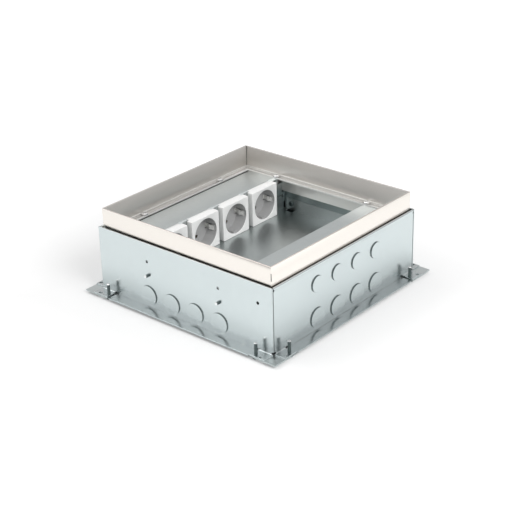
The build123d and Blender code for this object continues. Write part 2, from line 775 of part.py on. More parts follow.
# Contact sleeves with their wire clamps
pin_offsets = [(-pin_spacing / 2, 0), (pin_spacing / 2, 0)]
sleeve_front = housing_front - face_front + part_gap
clamp_front = sleeve_front + sleeve_length
with BuildPart() as contact_sleeves:
    for place_y in socket_places:
        with BuildSketch(pin_plane(place_y, sleeve_front)):
            with Locations(*pin_offsets):
                Circle(sleeve_outer)
                Circle(sleeve_bore, mode=Mode.SUBTRACT)
        extrude(amount=-sleeve_length)
        with BuildSketch(pin_plane(place_y, clamp_front)):
            with Locations(*pin_offsets):
                Rectangle(terminal_side, terminal_side)
                Circle(terminal_screw_radius + thread_play, mode=Mode.SUBTRACT)
        extrude(amount=-terminal_length)
finish(contact_sleeves, "contact_sleeves")

with BuildPart() as terminal_screws:
    for place_y in socket_places:
        with BuildSketch(pin_plane(place_y, clamp_front + terminal_length)):
            with Locations(*pin_offsets):
                Circle(terminal_screw_radius)
        extrude(amount=terminal_length - terminal_screw_short)
        with BuildSketch(pin_plane(place_y, clamp_front + terminal_length)):
            with Locations(*pin_offsets):
                Circle(terminal_screw_head)
                Rectangle(
                    3 * terminal_screw_head, driver_slot, rotation=terminal_turn, mode=Mode.SUBTRACT
                )
        extrude(amount=-terminal_head_height)
finish(terminal_screws, "terminal_screws")

# Earth stud on the base plate, with its washer and nut
with BuildPart() as earth_stud:
    with BuildSketch(Plane.XY.offset(flange_top)):
        with Locations((-earth_across, 0)):
            Circle(earth_radius)
    extrude(amount=earth_height)
    chamfer(earth_stud.edges().group_by(Axis.Z)[-1], earth_chamfer)
finish(earth_stud, "earth_stud")

with BuildPart() as earth_nut:
    with BuildSketch(Plane.XY.offset(flange_top)):
        with Locations((-earth_across, 0)):
            Circle(earth_washer_radius)
            Circle(earth_radius + thread_play, mode=Mode.SUBTRACT)
    extrude(amount=earth_washer_thickness)
    with BuildSketch(Plane.XY.offset(flange_top + earth_washer_thickness)):
        with Locations((-earth_across, 0)):
            RegularPolygon(earth_nut_flats / 2, 6, major_radius=False)
            Circle(earth_radius + thread_play, mode=Mode.SUBTRACT)
    extrude(amount=earth_nut_height)
finish(earth_nut, "earth_nut")
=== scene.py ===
"""Visual model of a floor socket box, laid out as a Blender add-on.

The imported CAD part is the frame. The walls and all screws that show are drawn again as
parametric surfaces in the same places. Every other CAD piece is shown as a copy of its own
mesh with the triangles merged, the edges of collar, ledge and plastic rounded, and a finish.
"""

import json
import math

import bmesh
import bpy
import numpy as np
from bpy.props import (
    FloatProperty,
    FloatVectorProperty,
    IntProperty,
    PointerProperty,
)
from mathutils import Matrix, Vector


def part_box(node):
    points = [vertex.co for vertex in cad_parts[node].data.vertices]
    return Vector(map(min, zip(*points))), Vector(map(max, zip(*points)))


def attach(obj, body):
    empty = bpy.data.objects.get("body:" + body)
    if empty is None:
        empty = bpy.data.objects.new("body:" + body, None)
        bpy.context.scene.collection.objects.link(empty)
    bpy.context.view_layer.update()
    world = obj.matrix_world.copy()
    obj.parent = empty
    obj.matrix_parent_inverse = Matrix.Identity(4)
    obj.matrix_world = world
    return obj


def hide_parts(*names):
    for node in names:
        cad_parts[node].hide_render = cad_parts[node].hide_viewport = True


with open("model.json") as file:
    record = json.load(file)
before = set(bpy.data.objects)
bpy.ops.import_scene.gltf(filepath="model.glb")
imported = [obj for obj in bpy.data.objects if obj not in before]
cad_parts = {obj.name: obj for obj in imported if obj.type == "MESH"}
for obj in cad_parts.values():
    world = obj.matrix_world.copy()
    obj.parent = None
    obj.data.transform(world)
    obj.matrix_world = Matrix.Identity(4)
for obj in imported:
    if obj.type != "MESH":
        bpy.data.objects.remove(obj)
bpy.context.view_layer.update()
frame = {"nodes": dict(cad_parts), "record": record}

bl_info = {
    "name": "Floor Socket Box",
    "version": (1, 0, 0),
    "blender": (4, 5, 0),
    "location": "View3D > Sidebar > Floor Box",
    "description": "Draws and finishes a sheet-steel floor box with sockets and a lift collar",
    "category": "Object",
}

MM = 0.001


def linear(hex_colour):
    """Linear RGBA of an sRGB colour written as six hex digits."""
    srgb = [int(hex_colour[i : i + 2], 16) / 255 for i in (0, 2, 4)]
    return [c / 12.92 if c <= 0.04045 else ((c + 0.055) / 1.055) ** 2.4 for c in srgb] + [1.0]


# Materials


def add_node(tree, kind, settings=None, links=None):
    """Adds one shader node. settings are attributes or input values by name; links are
    input name to (node, output name)."""
    node = tree.nodes.new(kind)
    for key, value in (settings or {}).items():
        if isinstance(key, str) and key not in node.inputs:
            setattr(node, key, value)
        else:
            node.inputs[key].default_value = value
    for key, (source, output) in (links or {}).items():
        tree.links.new(source.outputs[output], node.inputs[key])
    return node


def new_material(name):
    """An empty node material with its output node and an object coordinate node."""
    material = bpy.data.materials.new(name)
    material.use_nodes = True
    tree = material.node_tree
    tree.nodes.clear()
    output = add_node(tree, "ShaderNodeOutputMaterial")
    place = add_node(tree, "ShaderNodeTexCoord")
    return material, tree, output, place


def calculate(tree, operation, links, settings=None):
    """The output of one Math node."""
    settings = {"operation": operation, **(settings or {})}
    return (add_node(tree, "ShaderNodeMath", settings, links), "Value")


def blend(tree, factor, settings, links=None):
    """The output of one colour Mix node, whose input 6 is the colour at factor zero and 7
    the one at factor one."""
    settings = {"data_type": "RGBA", **settings}
    links = {"Factor": factor, **(links or {})}
    return (add_node(tree, "ShaderNodeMix", settings, links), "Result")


def noise(tree, place, size, detail):
    """The output of one Noise node with features of a size in mm."""
    settings = {"Scale": 1 / (size * MM), "Detail": detail}
    return (add_node(tree, "ShaderNodeTexNoise", settings, {"Vector": (place, "Object")}), "Fac")


def bumps(tree, height, strength, relief):
    """The output of one Bump node with a depth in mm."""
    settings = {"Strength": strength, "Distance": relief * MM}
    return (add_node(tree, "ShaderNodeBump", settings, {"Height": height}), "Normal")


def unsigned_place(tree, place):
    """The outputs of absolute X, Y and Z."""
    settings, links = {"operation": "ABSOLUTE"}, {0: (place, "Object")}
    absolute = add_node(tree, "ShaderNodeVectorMath", settings, links)
    parts = add_node(tree, "ShaderNodeSeparateXYZ", {}, {"Vector": (absolute, "Vector")})
    return (parts, "X"), (parts, "Y"), (parts, "Z")


def shaded(tree, colour, depth, factor):
    """The colour, darkened by up to depth where the factor is low."""
    dark = [c * (1 - depth) for c in colour[:3]] + [1.0]
    return blend(tree, factor, {6: dark, 7: list(colour[:3]) + [1.0]})


def spread(tree, value, low, high, from_low=0.3, from_high=0.7):
    """A map of a texture's value to a range."""
    settings = {"From Min": from_low, "From Max": from_high, "To Min": low, "To Max": high}
    return (add_node(tree, "ShaderNodeMapRange", settings, {"Value": value}), "Result")


def surface(tree, output, settings, tint, gloss, bump=None):
    """Ends a material's tree with its tint, roughness and bump."""
    links = {"Base Color": tint, "Roughness": gloss}
    if bump:
        links["Normal"] = bump
    shader = add_node(tree, "ShaderNodeBsdfPrincipled", settings, links)
    tree.links.new(shader.outputs["BSDF"], output.inputs["Surface"])


# Pattern sizes in mm. Spangle, clouds, flow and the length of a ground line are as on the real
# finishes. Ground and rolled lines, plating grain and the plastics' spark texture are finer
# than a pixel on the real ones, and are drawn as coarse as they need to show
SPANGLE, ZINC_WAVES, ZINC_CLOUDS = 5.0, 6.0, 60.0
GROUND_LINE, ROLLED_LINE, LINE_LENGTH = 0.25, 0.5, 25.0
PLATING_GRAIN, SHEARED_GRAIN, SPRING_GRAIN, BRASS_GRAIN = 1.5, 0.8, 2.0, 1.0
FRONT_TEXTURE, HOUSING_TEXTURE, PLASTIC_FLOW = 0.35, 0.4, 18.0
# Depth of the bumps in mm
ZINC_RELIEF, LINE_RELIEF, SPARK_RELIEF = 0.02, 0.01, 0.02
# Share of the single crystals in the zinc's tone beside the clouds
CRYSTAL_SHARE = 0.35


def galvanised_steel(name, colour, depth, rough):
    """Galvanised steel sheet with minimised spangle: zinc crystals a few millimetres wide
    give barely seen patches of tone and gloss on a satin mirror of what is near."""
    material, tree, output, place = new_material(name)
    settings = {"Scale": 1 / (SPANGLE * MM), "feature": "SMOOTH_F1", "Smoothness": 0.5}
    cells = add_node(tree, "ShaderNodeTexVoronoi", settings, {"Vector": (place, "Object")})
    crystal = add_node(tree, "ShaderNodeSeparateColor", {}, {"Color": (cells, "Color")})
    cloud = noise(tree, place, ZINC_CLOUDS, 1.0)
    mixed = calculate(tree, "MULTIPLY_ADD", {0: (crystal, "Red"), 2: cloud}, {1: CRYSTAL_SHARE})
    tint = shaded(tree, colour, depth, spread(tree, mixed, 0.0, 1.0, 0.3, 1.0))
    gloss = spread(tree, (crystal, "Green"), rough - 0.02, rough + 0.02, 0.0, 1.0)
    bump = bumps(tree, noise(tree, place, ZINC_WAVES, 0.0), 0.02, ZINC_RELIEF)
    surface(tree, output, {"Metallic": 1.0}, tint, gloss, bump)
    return material


def ground_stainless(name, colour, depth, rough, line_mm, band, metallic=1.0):
    """Stainless steel sheet ground with a fine belt: thin lines run along each side of the
    square frame and stretch the highlights across them. The band is (low, high, colour,
    roughness): a strip round the frame, in mm from its middle, with its own colour and
    roughness. On the collar it is the inside, rougher and painted darker as shade; on the
    ledge it is the grooves, ground otherwise."""
    material, tree, output, place = new_material(name)
    x, y, z = unsigned_place(tree, place)
    across = calculate(tree, "MAXIMUM", {0: x, 1: y})
    along = calculate(tree, "MINIMUM", {0: x, 1: y})
    frame_place = add_node(tree, "ShaderNodeCombineXYZ", {}, {"X": across, "Y": along, "Z": z})
    fine = 1 / (line_mm * MM)
    scale = {"Scale": (fine, 1 / (LINE_LENGTH * MM), fine)}
    stretch = add_node(tree, "ShaderNodeMapping", scale, {"Vector": (frame_place, "Vector")})
    settings = {"Scale": 1.0, "Detail": 3.0, "Roughness": 0.6}
    lines = add_node(tree, "ShaderNodeTexNoise", settings, {"Vector": (stretch, "Vector")})
    lines = (lines, "Fac")
    low, high, band_colour, band_rough = band
    offset = calculate(tree, "SUBTRACT", {0: across}, {1: (low + high) / 2 * MM})
    inside = calculate(tree, "COMPARE", {0: offset}, {1: 0.0, 2: (high - low) / 2 * MM})
    outer, inner = shaded(tree, colour, depth, lines), shaded(tree, band_colour, depth, lines)
    tint = blend(tree, inside, {}, {6: outer, 7: inner})
    outer_gloss = spread(tree, lines, rough - 0.05, rough + 0.06)
    gloss = add_node(
        tree, "ShaderNodeMix", {3: band_rough}, {"Factor": inside, 2: outer_gloss}
    )
    bump = bumps(tree, lines, 0.05, LINE_RELIEF)
    surface(tree, output, {"Metallic": metallic}, tint, (gloss, "Result"), bump)
    return material


def plated_metal(name, colour, depth, rough, grain_mm, metallic=1.0):
    """Plated, drawn or cut metal: an even coat whose faint clouding of tone and gloss
    breaks up the highlights. Its darker colours are painted shade on cut edges and threads."""
    material, tree, output, place = new_material(name)
    grain = noise(tree, place, grain_mm, 3.0)
    tint = shaded(tree, colour, depth, grain)
    gloss = spread(tree, grain, rough * 0.8, rough * 1.25)
    surface(tree, output, {"Metallic": metallic}, tint, gloss)
    return material


# The sockets' wells in mm: height and pitch along Y of their axes, the radius that is painted
# grey as the shade inside them, and the X that it lies behind
WELL_HEIGHT, WELL_PITCH, WELL_SHADE_RADIUS, WELL_FRONT = 62.4, 58.0, 20.6, -62.5


def well_shade_mask(tree, place):
    """One inside the wells, where grey is painted as shade, from the distance to the nearest
    axis, and zero elsewhere.
    """
    parts = add_node(tree, "ShaderNodeSeparateXYZ", {}, {"Vector": (place, "Object")})
    half_pitch = WELL_PITCH * MM / 2
    side = calculate(tree, "PINGPONG", {0: (parts, "Y")}, {1: half_pitch})
    from_axis = calculate(tree, "SUBTRACT", {1: side}, {0: half_pitch})
    rise = calculate(tree, "SUBTRACT", {0: (parts, "Z")}, {1: WELL_HEIGHT * MM})
    flat = add_node(tree, "ShaderNodeCombineXYZ", {}, {"X": from_axis, "Y": rise})
    length = {"operation": "LENGTH"}
    reach = add_node(tree, "ShaderNodeVectorMath", length, {0: (flat, "Vector")})
    near = calculate(tree, "LESS_THAN", {0: (reach, "Value")}, {1: WELL_SHADE_RADIUS * MM})
    behind = calculate(tree, "LESS_THAN", {0: (parts, "X")}, {1: WELL_FRONT * MM})
    return calculate(tree, "MULTIPLY", {0: near, 1: behind})


def moulded_plastic(name, colour, depth, rough, grain_mm, bump_strength, coat, well_shade_colour=None):
    """Injection-moulded plastic: one solid colour, the fine spark-eroded texture of the
    mould, and a soft sheen. The sockets' wells are greyed as the shade inside them, a painted shade."""
    material, tree, output, place = new_material(name)
    grain = noise(tree, place, grain_mm, 2.0)
    tint = shaded(tree, colour, depth, noise(tree, place, PLASTIC_FLOW, 1.0))
    if well_shade_colour is not None:
        grey = {7: list(well_shade_colour[:3]) + [1.0]}
        tint = blend(tree, well_shade_mask(tree, place), grey, {6: tint})
    gloss = spread(tree, grain, rough - 0.04, rough + 0.04)
    bump = bumps(tree, grain, bump_strength, SPARK_RELIEF)
    settings = {"IOR": 1.5, "Coat Weight": coat, "Coat Roughness": 0.2}
    surface(tree, output, settings, tint, gloss, bump)
    return material


def colour_property(name, description, hex_colour):
    """A colour setting with its default as six hex digits."""
    texts = {"name": name, "description": description, "subtype": "COLOR"}
    return FloatVectorProperty(**texts, size=4, min=0.0, max=1.0, default=linear(hex_colour))


class ColourSettings(bpy.types.PropertyGroup):
    """Colours of the finishes."""

    outside: colour_property("Walls", "Galvanised walls, outside", "DEE4E5")
    inside: colour_property("Inside", "Galvanised carriers, brackets and base", "DCE2E2")
    # Painted shade: the walls' inside is the same zinc, darker for the shade inside the box
    wall_in_painted_shade: colour_property("Wall insides", "Galvanised walls, inside", "9CA6A6")
    tray: colour_property("Tray", "Galvanised tray in the shade of the box", "C2C8C8")
    collar: colour_property("Collar", "Stainless collar, outside", "FFF6EF")
    # Painted shade: the collar's inside is its stainless, darker for the shade inside the box
    collar_in_painted_shade: colour_property("Collar inside", "Stainless collar, inside", "ECE9E5")
    ledge: colour_property("Ledge", "Stainless ledge", "FAFAF8")
    ledge_groove: colour_property("Ledge groove", "Rolled lines along the ledge", "D6D4D0")
    screws: colour_property("Screws", "Zinc-plated screws", "FCFCFC")
    # Painted shade: the studs and tray screws are the screws' zinc, darkened for the shade on their
    # threads
    studs: colour_property("Studs", "Dull threads of the studs", "6E7A7A")
    # Painted shade: the rough cut edges of the knockouts and of the collar's slits are darkened for
    # the shade in their gaps
    cut_edge_shade: colour_property("Sheared edges", "Rough edges round the knockouts", "6A7676")
    sockets: colour_property("Sockets", "White socket fronts", "FBFBFA")
    # Painted shade: the wells are of the white plastic, greyed for the shade inside them
    wells: colour_property("Wells", "Grey wells of the sockets", "B0B0B0")
    housings: colour_property("Housings", "Grey housings behind the sockets", "85898C")
    springs: colour_property("Springs", "Nickel-plated earth clips", "FFFFFC")
    brass: colour_property("Brass", "Contact sleeves", "C9A860")


# Bands of the collar and the ledge, in mm from the middle. The collar's band is its inside,
# which is painted darker as shade
COLLAR_SHADE_BAND = (0.0, 134.2)
LEDGE_GROOVES = (125.3, 132.3)


def make_materials(colours):
    """One material per finish: a slot of the record, a node, or the inside of the sheet, whose
    darker colour is painted shade. After the colour come how far it darkens and the roughness."""
    painted_shade_band = (*COLLAR_SHADE_BAND, colours.collar_in_painted_shade, 0.42)
    groove_band = (*LEDGE_GROOVES, colours.ledge_groove, 0.5)
    return {
        "galvanised": galvanised_steel("galvanised_steel", colours.outside, 0.04, 0.25),
        "inside": galvanised_steel("galvanised_steel_in_shade", colours.inside, 0.06, 0.32),
        # The walls' inside: the zinc of the walls, darker as painted shade
        "wall_in_painted_shade": galvanised_steel("galvanised_wall_in_painted_shade", colours.wall_in_painted_shade, 0.04, 0.32),
        # The tray: the zinc, darkened as painted shade of the box
        "tray": galvanised_steel("galvanised_tray_painted_shade", colours.tray, 0.06, 0.32),
        # The collar's inside is painted darker as shade
        "stainless": ground_stainless(
            "ground_stainless_steel", colours.collar, 0.03, 0.22, GROUND_LINE, painted_shade_band
        ),
        # Less metallic than bare steel, so that it is as pale in the box's shade as in the photo
        "ledge": ground_stainless(
            "rolled_stainless_ledge", colours.ledge, 0.1, 0.5, ROLLED_LINE, groove_band, 0.5
        ),
        "zinc": plated_metal("zinc_plated_steel", colours.screws, 0.1, 0.25, PLATING_GRAIN),
        # The threads: the screws' zinc, darkened as painted shade
        "studs": plated_metal("zinc_threads_painted_shade", colours.studs, 0.3, 0.3, PLATING_GRAIN),
        # Rough cut edges, painted dark as the shade in their gaps
        "cut_edge_shade": plated_metal("cut_edge_painted_shade", colours.cut_edge_shade, 0.3, 0.5, SHEARED_GRAIN),
        # The wells in the white fronts are greyed as painted shade
        "white_plastic": moulded_plastic(
            "white_polycarbonate", colours.sockets, 0.02, 0.3, FRONT_TEXTURE, 0.1, 0.15, colours.wells
        ),
        "grey_plastic": moulded_plastic(
            "grey_polyamide", colours.housings, 0.12, 0.5, HOUSING_TEXTURE, 0.3, 0.0
        ),
        # Less metallic too, for the same reason in the wells
        "spring_steel": plated_metal(
            "nickel_plated_spring_steel", colours.springs, 0.1, 0.3, SPRING_GRAIN, 0.4
        ),
        "brass": plated_metal("drawn_brass", colours.brass, 0.25, 0.3, BRASS_GRAIN),
    }


FINISHES = {}


def finish_of(kind):
    """The material of one finish, made on its first use."""
    if not FINISHES:
        FINISHES.update(make_materials(bpy.context.scene.floor_box_colours))
    return FINISHES[kind]


# Surfaces. Each is (points in mm, quads)


def grid_faces(rows, columns, closed=False):
    """Quads of a grid of points numbered row by row; closed joins the last column to the
    first."""
    across = columns if closed else columns - 1
    i, j = np.meshgrid(np.arange(rows - 1), np.arange(across), indexing="ij")
    k = (j + 1) % columns
    this_row, next_row = i * columns, (i + 1) * columns
    quads = np.stack([this_row + j, this_row + k, next_row + k, next_row + j], -1)
    return quads.reshape(-1, 4)


def loft(loops):
    """Skin over closed loops of equally many points, given as an array of loop, point and
    axis. A loop whose points all lie in one place closes the skin with a pole."""
    loops = np.asarray(loops, float)
    return loops.reshape(-1, 3), grid_faces(loops.shape[0], loops.shape[1], True)


def join(*skins):
    """One skin of several."""
    starts = np.cumsum([0] + [len(points) for points, _ in skins[:-1]])
    points = np.concatenate([points for points, _ in skins])
    return points, np.concatenate([faces + start for (_, faces), start in zip(skins, starts)])


def moved(skin, shift):
    """The skin with the shift added to its points."""
    return skin[0] + np.asarray(shift), skin[1]


def aimed(skin, direction):
    """The skin turned so that its Z axis points along a horizontal direction."""
    x, y = direction
    return skin[0] @ np.array([[-y, x, 0.0], [0.0, 0.0, 1.0], [x, y, 0.0]]), skin[1]


# Cells to a millimetre
WELD_CELLS = 1e4


def weld(skin):
    """Joins the points that share a cell of a fine lattice, and drops what this closes: a
    quad with one short side becomes a triangle, and one with two is left out."""
    points, faces = skin
    cells = np.round(points * WELD_CELLS).astype(np.int64)
    _, first, number = np.unique(cells, axis=0, return_index=True, return_inverse=True)
    faces = number.reshape(-1)[faces]
    repeated = faces == np.roll(faces, -1, axis=1)
    count = repeated.sum(axis=1)
    triangles = faces[count == 1][~repeated[count == 1]].reshape(-1, 3)
    return points[first], faces[count == 0], triangles


def mark_faces(mesh, number, test):
    """Gives another material to the faces that the test picks by their middles in mm and
    their normals."""
    middle, normal = np.empty((2, 3 * len(mesh.polygons)))
    mesh.polygons.foreach_get("center", middle)
    mesh.polygons.foreach_get("normal", normal)
    picked = test(middle.reshape(-1, 3) / MM, normal.reshape(-1, 3))
    mesh.polygons.foreach_set("material_index", np.where(picked, number, 0).astype(np.int32))


# Angles in degrees from which an edge is rounded
SHARP, SHEET_SHARP = 35.0, 40.0


def add_piece(node, mesh, finish, body, slot, second, edge=0.0, sharp=SHARP, sheet=0.0):
    """Puts a mesh in the scene with its finish, its rounded edges and its sheet thickness
    (mm), hangs it on its body's empty and hides the node. The back of a sheet gets the walls'
    inside colour, darker as painted shade, and second is another finish with the test for its
    faces, used for the painted shade on cut edges and the painted highlight on screw ends."""
    mesh.materials.clear()
    mesh.materials.append(finish_of(finish))
    if sheet:
        # The back of the sheet gets the darker colour that is painted shade inside the box
        mesh.materials.append(finish_of("wall_in_painted_shade"))
    if second:
        mesh.materials.append(finish_of(second[0]))
        mark_faces(mesh, len(mesh.materials) - 1, second[1])
    mesh.polygons.foreach_set("use_smooth", np.ones(len(mesh.polygons), bool))
    piece = bpy.data.objects.new(f"{node}_shown", mesh)
    bpy.context.scene.collection.objects.link(piece)
    if sheet:
        solid = piece.modifiers.new("sheet", "SOLIDIFY")
        solid.thickness, solid.offset, solid.use_even_offset = sheet * MM, -1.0, True
        solid.material_offset = 1
    if edge:
        rounding = piece.modifiers.new("edge", "BEVEL")
        rounding.width, rounding.segments, rounding.use_clamp_overlap = edge * MM, 2, False
        rounding.limit_method, rounding.angle_limit = "ANGLE", math.radians(sharp)
        rounding.harden_normals = True
    else:
        mesh.set_sharp_from_angle(angle=math.radians(sharp))
        shading = piece.modifiers.new("shading", "WEIGHTED_NORMAL")
        shading.keep_sharp, shading.weight = True, 100
    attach(piece, body)
    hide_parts(node)


def add_surface(node, skin, finish, body, slot, second, **rounding):
    """Makes a mesh of a skin and adds it as the piece that stands for a node."""
    points, quads, triangles = weld(skin)
    mesh = bpy.data.meshes.new(f"{node}_shown")
    mesh.from_pydata((points * MM).tolist(), [], quads.tolist() + triangles.tolist())
    add_piece(node, mesh, finish, body, slot, second, **rounding)


# In mm, far less than any size of the part
MERGE_DISTANCE = 0.002


def add_rounded(node, finish, body, slot, second, edge):
    """A copy of a CAD node with its loose triangles merged and its edges rounded."""
    mesh = frame["nodes"][node].data.copy()
    mesh.transform(frame["nodes"][node].matrix_world)
    work = bmesh.new()
    work.from_mesh(mesh)
    bmesh.ops.remove_doubles(work, verts=work.verts, dist=MERGE_DISTANCE * MM)
    work.to_mesh(mesh)
    work.free()
    mesh.update()
    add_piece(node, mesh, finish, body, slot, second, edge)


def bearings(count):
    """Even angles round a circle."""
    return np.linspace(0, 2 * math.pi, count, endpoint=False)[None]


def turned_loops(profile, count):
    """Circles of a surface of revolution, one for each (radius, height): radius times the
    cosine and sine of even bearings."""
    r, height = np.array(profile, float)[:, :, None].transpose(1, 0, 2)
    bearing = bearings(count)
    return np.stack([r * np.cos(bearing), r * np.sin(bearing), height + 0 * bearing], -1)


# Circles to one turn of a thread
THREAD_CIRCLES = 6


def thread_loops(radius, depth, pitch, low, high, count):
    """Circles of a screw thread: the radius falls by a triangle wave of height minus
    bearing, and fades to the core over the first and last half pitch."""
    rows = int((high - low) / pitch * THREAD_CIRCLES) + 1
    height = np.linspace(low, high, rows)[:, None]
    bearing = bearings(count)
    wave = np.abs(((height / pitch - bearing / (2 * math.pi)) % 1.0) * 2 - 1)
    fade = np.clip(np.minimum(height - low, high - height) / (0.5 * pitch), 0, 1)
    r = radius - depth + depth * wave * fade
    return np.stack([r * np.cos(bearing), r * np.sin(bearing), height + 0 * r], -1)


# Width in mm over which a slot's side falls
SLOT_SLOPE = 0.12


def recessed_loops(radius, height, crown, slots, slot_width, slot_depth, count, rings):
    """Circles of a screw's end, from the rim to the centre: a low dome of height plus crown
    times one minus (r / radius) squared, sunk by slot_depth inside each slot, a (length,
    turn) across the centre."""
    r = np.linspace(radius, 0, rings)[:, None]
    bearing = bearings(count)
    x, y = r * np.cos(bearing), r * np.sin(bearing)
    sunk = np.zeros_like(x)
    for length, turn in slots:
        along = x * math.cos(turn) + y * math.sin(turn)
        across = y * math.cos(turn) - x * math.sin(turn)
        inside = np.minimum(length / 2 - np.abs(along), slot_width / 2 - np.abs(across))
        sunk = np.maximum(sunk, np.clip(inside / SLOT_SLOPE + 0.5, 0, 1))
    return np.stack([x, y, height + crown * (1 - (r / radius) ** 2) - slot_depth * sunk], -1)


# Folded sheet: a flat pattern of tiles in (along, up the sheet, off the sheet), then bent


# Faces along each side of a tile
TILE_FACES = 10
# Lengths in mm that differ less are the same
SAME = 1e-6
# Bearing in radians at which a nib has sunk to about a third
NIB_ANGLE = 0.13


def span(edges, low, high):
    """Points along one side of a block: TILE_FACES to each step between the edges, without
    the last."""
    stops = [e for e in edges if low - SAME <= e <= high + SAME]
    pairs = zip(stops[:-1], stops[1:])
    return np.concatenate([np.linspace(a, b, TILE_FACES, endpoint=False) for a, b in pairs])


def ring_tile(columns, rows, block, centre, rings, floor=False):
    """A block of the pattern with a round feature. Each ring is (radius, height, nib), a
    circle widened by nib times a bell curve of the bearing at its top and bottom. The first
    ring is joined to the block's edge, and a floor closes the last at its centre."""
    a0, a1, s0, s1 = block
    across, up = span(columns, a0, a1), span(rows, s0, s1)
    edge = np.concatenate(
        [
            np.stack([across, np.full_like(across, s0)], -1),
            np.stack([np.full_like(up, a1), up], -1),
            np.stack([np.append(across[1:], a1)[::-1], np.full_like(across, s1)], -1),
            np.stack([np.full_like(up, a0), np.append(up[1:], s1)[::-1]], -1),
        ]
    )
    bearing = np.arctan2(edge[:, 1] - centre[1], edge[:, 0] - centre[0])
    bridge = np.exp(-(((np.abs(bearing) - math.pi / 2) / NIB_ANGLE) ** 2))
    loops = [np.column_stack([edge, np.zeros(len(edge))])]
    for radius, height, nib in rings:
        r = radius + nib * bridge
        x, y = centre[0] + r * np.cos(bearing), centre[1] + r * np.sin(bearing)
        loops.append(np.stack([x, y, np.full_like(r, height)], -1))
    if floor:
        loops.append(np.tile((*centre, rings[-1][1]), (len(edge), 1)))
    return loft(loops)


def tiled_sheet(columns, rows, keep, features):
    """Flat pattern: a tile in each cell between the column and row edges that keep(a, s)
    allows, and a ring tile in each feature's block."""
    tiles = [ring_tile(columns, rows, *feature) for feature in features]
    blocks = [feature[0] for feature in features]
    for a0, a1 in zip(columns[:-1], columns[1:]):
        for s0, s1 in zip(rows[:-1], rows[1:]):
            a, s = (a0 + a1) / 2, (s0 + s1) / 2
            taken = any(b[0] < a < b[1] and b[2] < s < b[3] for b in blocks)
            if taken or not keep(a, s):
                continue
            up, across = np.linspace(s0, s1, TILE_FACES + 1), np.linspace(a0, a1, TILE_FACES + 1)
            s, a = np.meshgrid(up, across, indexing="ij")
            points = np.stack([a, s, 0 * a], -1).reshape(-1, 3)
            tiles.append((points, grid_faces(TILE_FACES + 1, TILE_FACES + 1)))
    return join(*tiles)


def along_profile(line, radii, s):
    """Places and right-hand normals at lengths s along a line whose corners are rounded:
    the point runs straight on each leg, and round an arc of the radius over the tangent's
    length before and after each corner."""
    line = np.asarray(line, float)
    steps = np.diff(line, axis=0)
    lengths = np.linalg.norm(steps, axis=1)
    unit = steps / lengths[:, None]
    left = np.stack([-unit[:, 1], unit[:, 0]], -1)
    starts = np.concatenate([[0.0], np.cumsum(lengths)])
    k = np.clip(np.searchsorted(starts, s, side="right") - 1, 0, len(unit) - 1)
    places = line[k] + unit[k] * (s - starts[k])[:, None]
    normals = -left[k]
    for corner, radius in enumerate(radii):
        u, v = unit[corner], unit[corner + 1]
        angle = math.atan2(u[0] * v[1] - u[1] * v[0], u @ v)
        cut = radius * math.tan(abs(angle) / 2)
        near = np.abs(s - starts[corner + 1]) < cut
        swing = angle * (s[near] - starts[corner + 1] + cut)[:, None] / (2 * cut)
        toward = left[corner] * np.cos(swing) - u * np.sin(swing)
        centre = line[corner + 1] - u * cut + math.copysign(radius, angle) * left[corner]
        places[near] = centre - math.copysign(radius, angle) * toward
        normals[near] = -toward
    return places, normals


def bend(flat, line, radii, start, turn):
    """Bends a flat pattern along a line of (distance out, height), the pattern's second
    coordinate starting there, and turns it to face outwards at turn degrees about Z."""
    points, faces = flat
    places, normals = along_profile(line, radii, points[:, 1] - start)
    places = places + normals * points[:, 2:3]
    c, s = math.cos(math.radians(turn)), math.sin(math.radians(turn))
    x = points[:, 0] * c + places[:, 0] * s
    y = points[:, 0] * s - places[:, 0] * c
    return np.stack([x, y, places[:, 1]], -1), faces


# Sizes in mm, the outer ones read from the frame


def mm_box(node):
    """Lowest and highest corner of a node in mm."""
    low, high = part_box(node)
    return np.asarray(low) / MM, np.asarray(high) / MM


WALL_LOW, WALL_HIGH = mm_box("wall_front")
SHEET = 1.5
BOX_HALF = WALL_HIGH[0]
SIDE_HALF = mm_box("wall_right")[1][1]
FLANGE_HALF = -WALL_LOW[1]
FLANGE_REACH = FLANGE_HALF - BOX_HALF
FLANGE_TOP = WALL_LOW[2] + SHEET
TAB_TOP = FLANGE_TOP + SHEET
WALL_TOP = WALL_HIGH[2]

# Relief slot between the middle flange and a tab, the gap between two tabs, the notch at
# the foot of a corner, and the seam between two walls, which is drawn wide to be seen
SLOT_IN, SLOT_OUT = 115.1, 116.9
SLOT_MIDDLE = (SLOT_IN + SLOT_OUT) / 2
SLOT_HALF = SLOT_OUT - SLOT_MIDDLE
SLOT_FADE = 5.0
SEAM = 0.2
CORNER_NOTCH = 2.6
SEAM_SHOWN = 0.7

# Holes of a tab: across, distance out from the fold, radius
TAB_SPLIT = 126.5
STUD_HOLE = (121.0, 8.2, 2.3)
FIXING_HOLE = (132.0, 12.2, 2.25)

# Discs in rows of four: radius and height. Then the edges of the rows of tiles round them
KNOCKOUT_PITCH = 38.5
BIG_DISC, SMALL_DISC = (13.1, 20.7), (10.6, 65.0)
BIG_DISC_TOP = 35.0
SMALL_DISC_LOW, SMALL_DISC_HIGH = 53.0, 77.5

# Holes of the front and back wall: places across, heights, radius, and their tiles' edges
WALL_HOLE_ACROSS, EARTH_HOLE_ACROSS = 57.8, 118.4
TRAY_SCREW_HEIGHT, WALL_HOLE_HEIGHT = 47.7, 66.6
WALL_HOLE_RADIUS = 2.0
LOWER_HOLE_EDGES, UPPER_HOLE_EDGES = (41.0, 54.4), (54.4, 78.0)

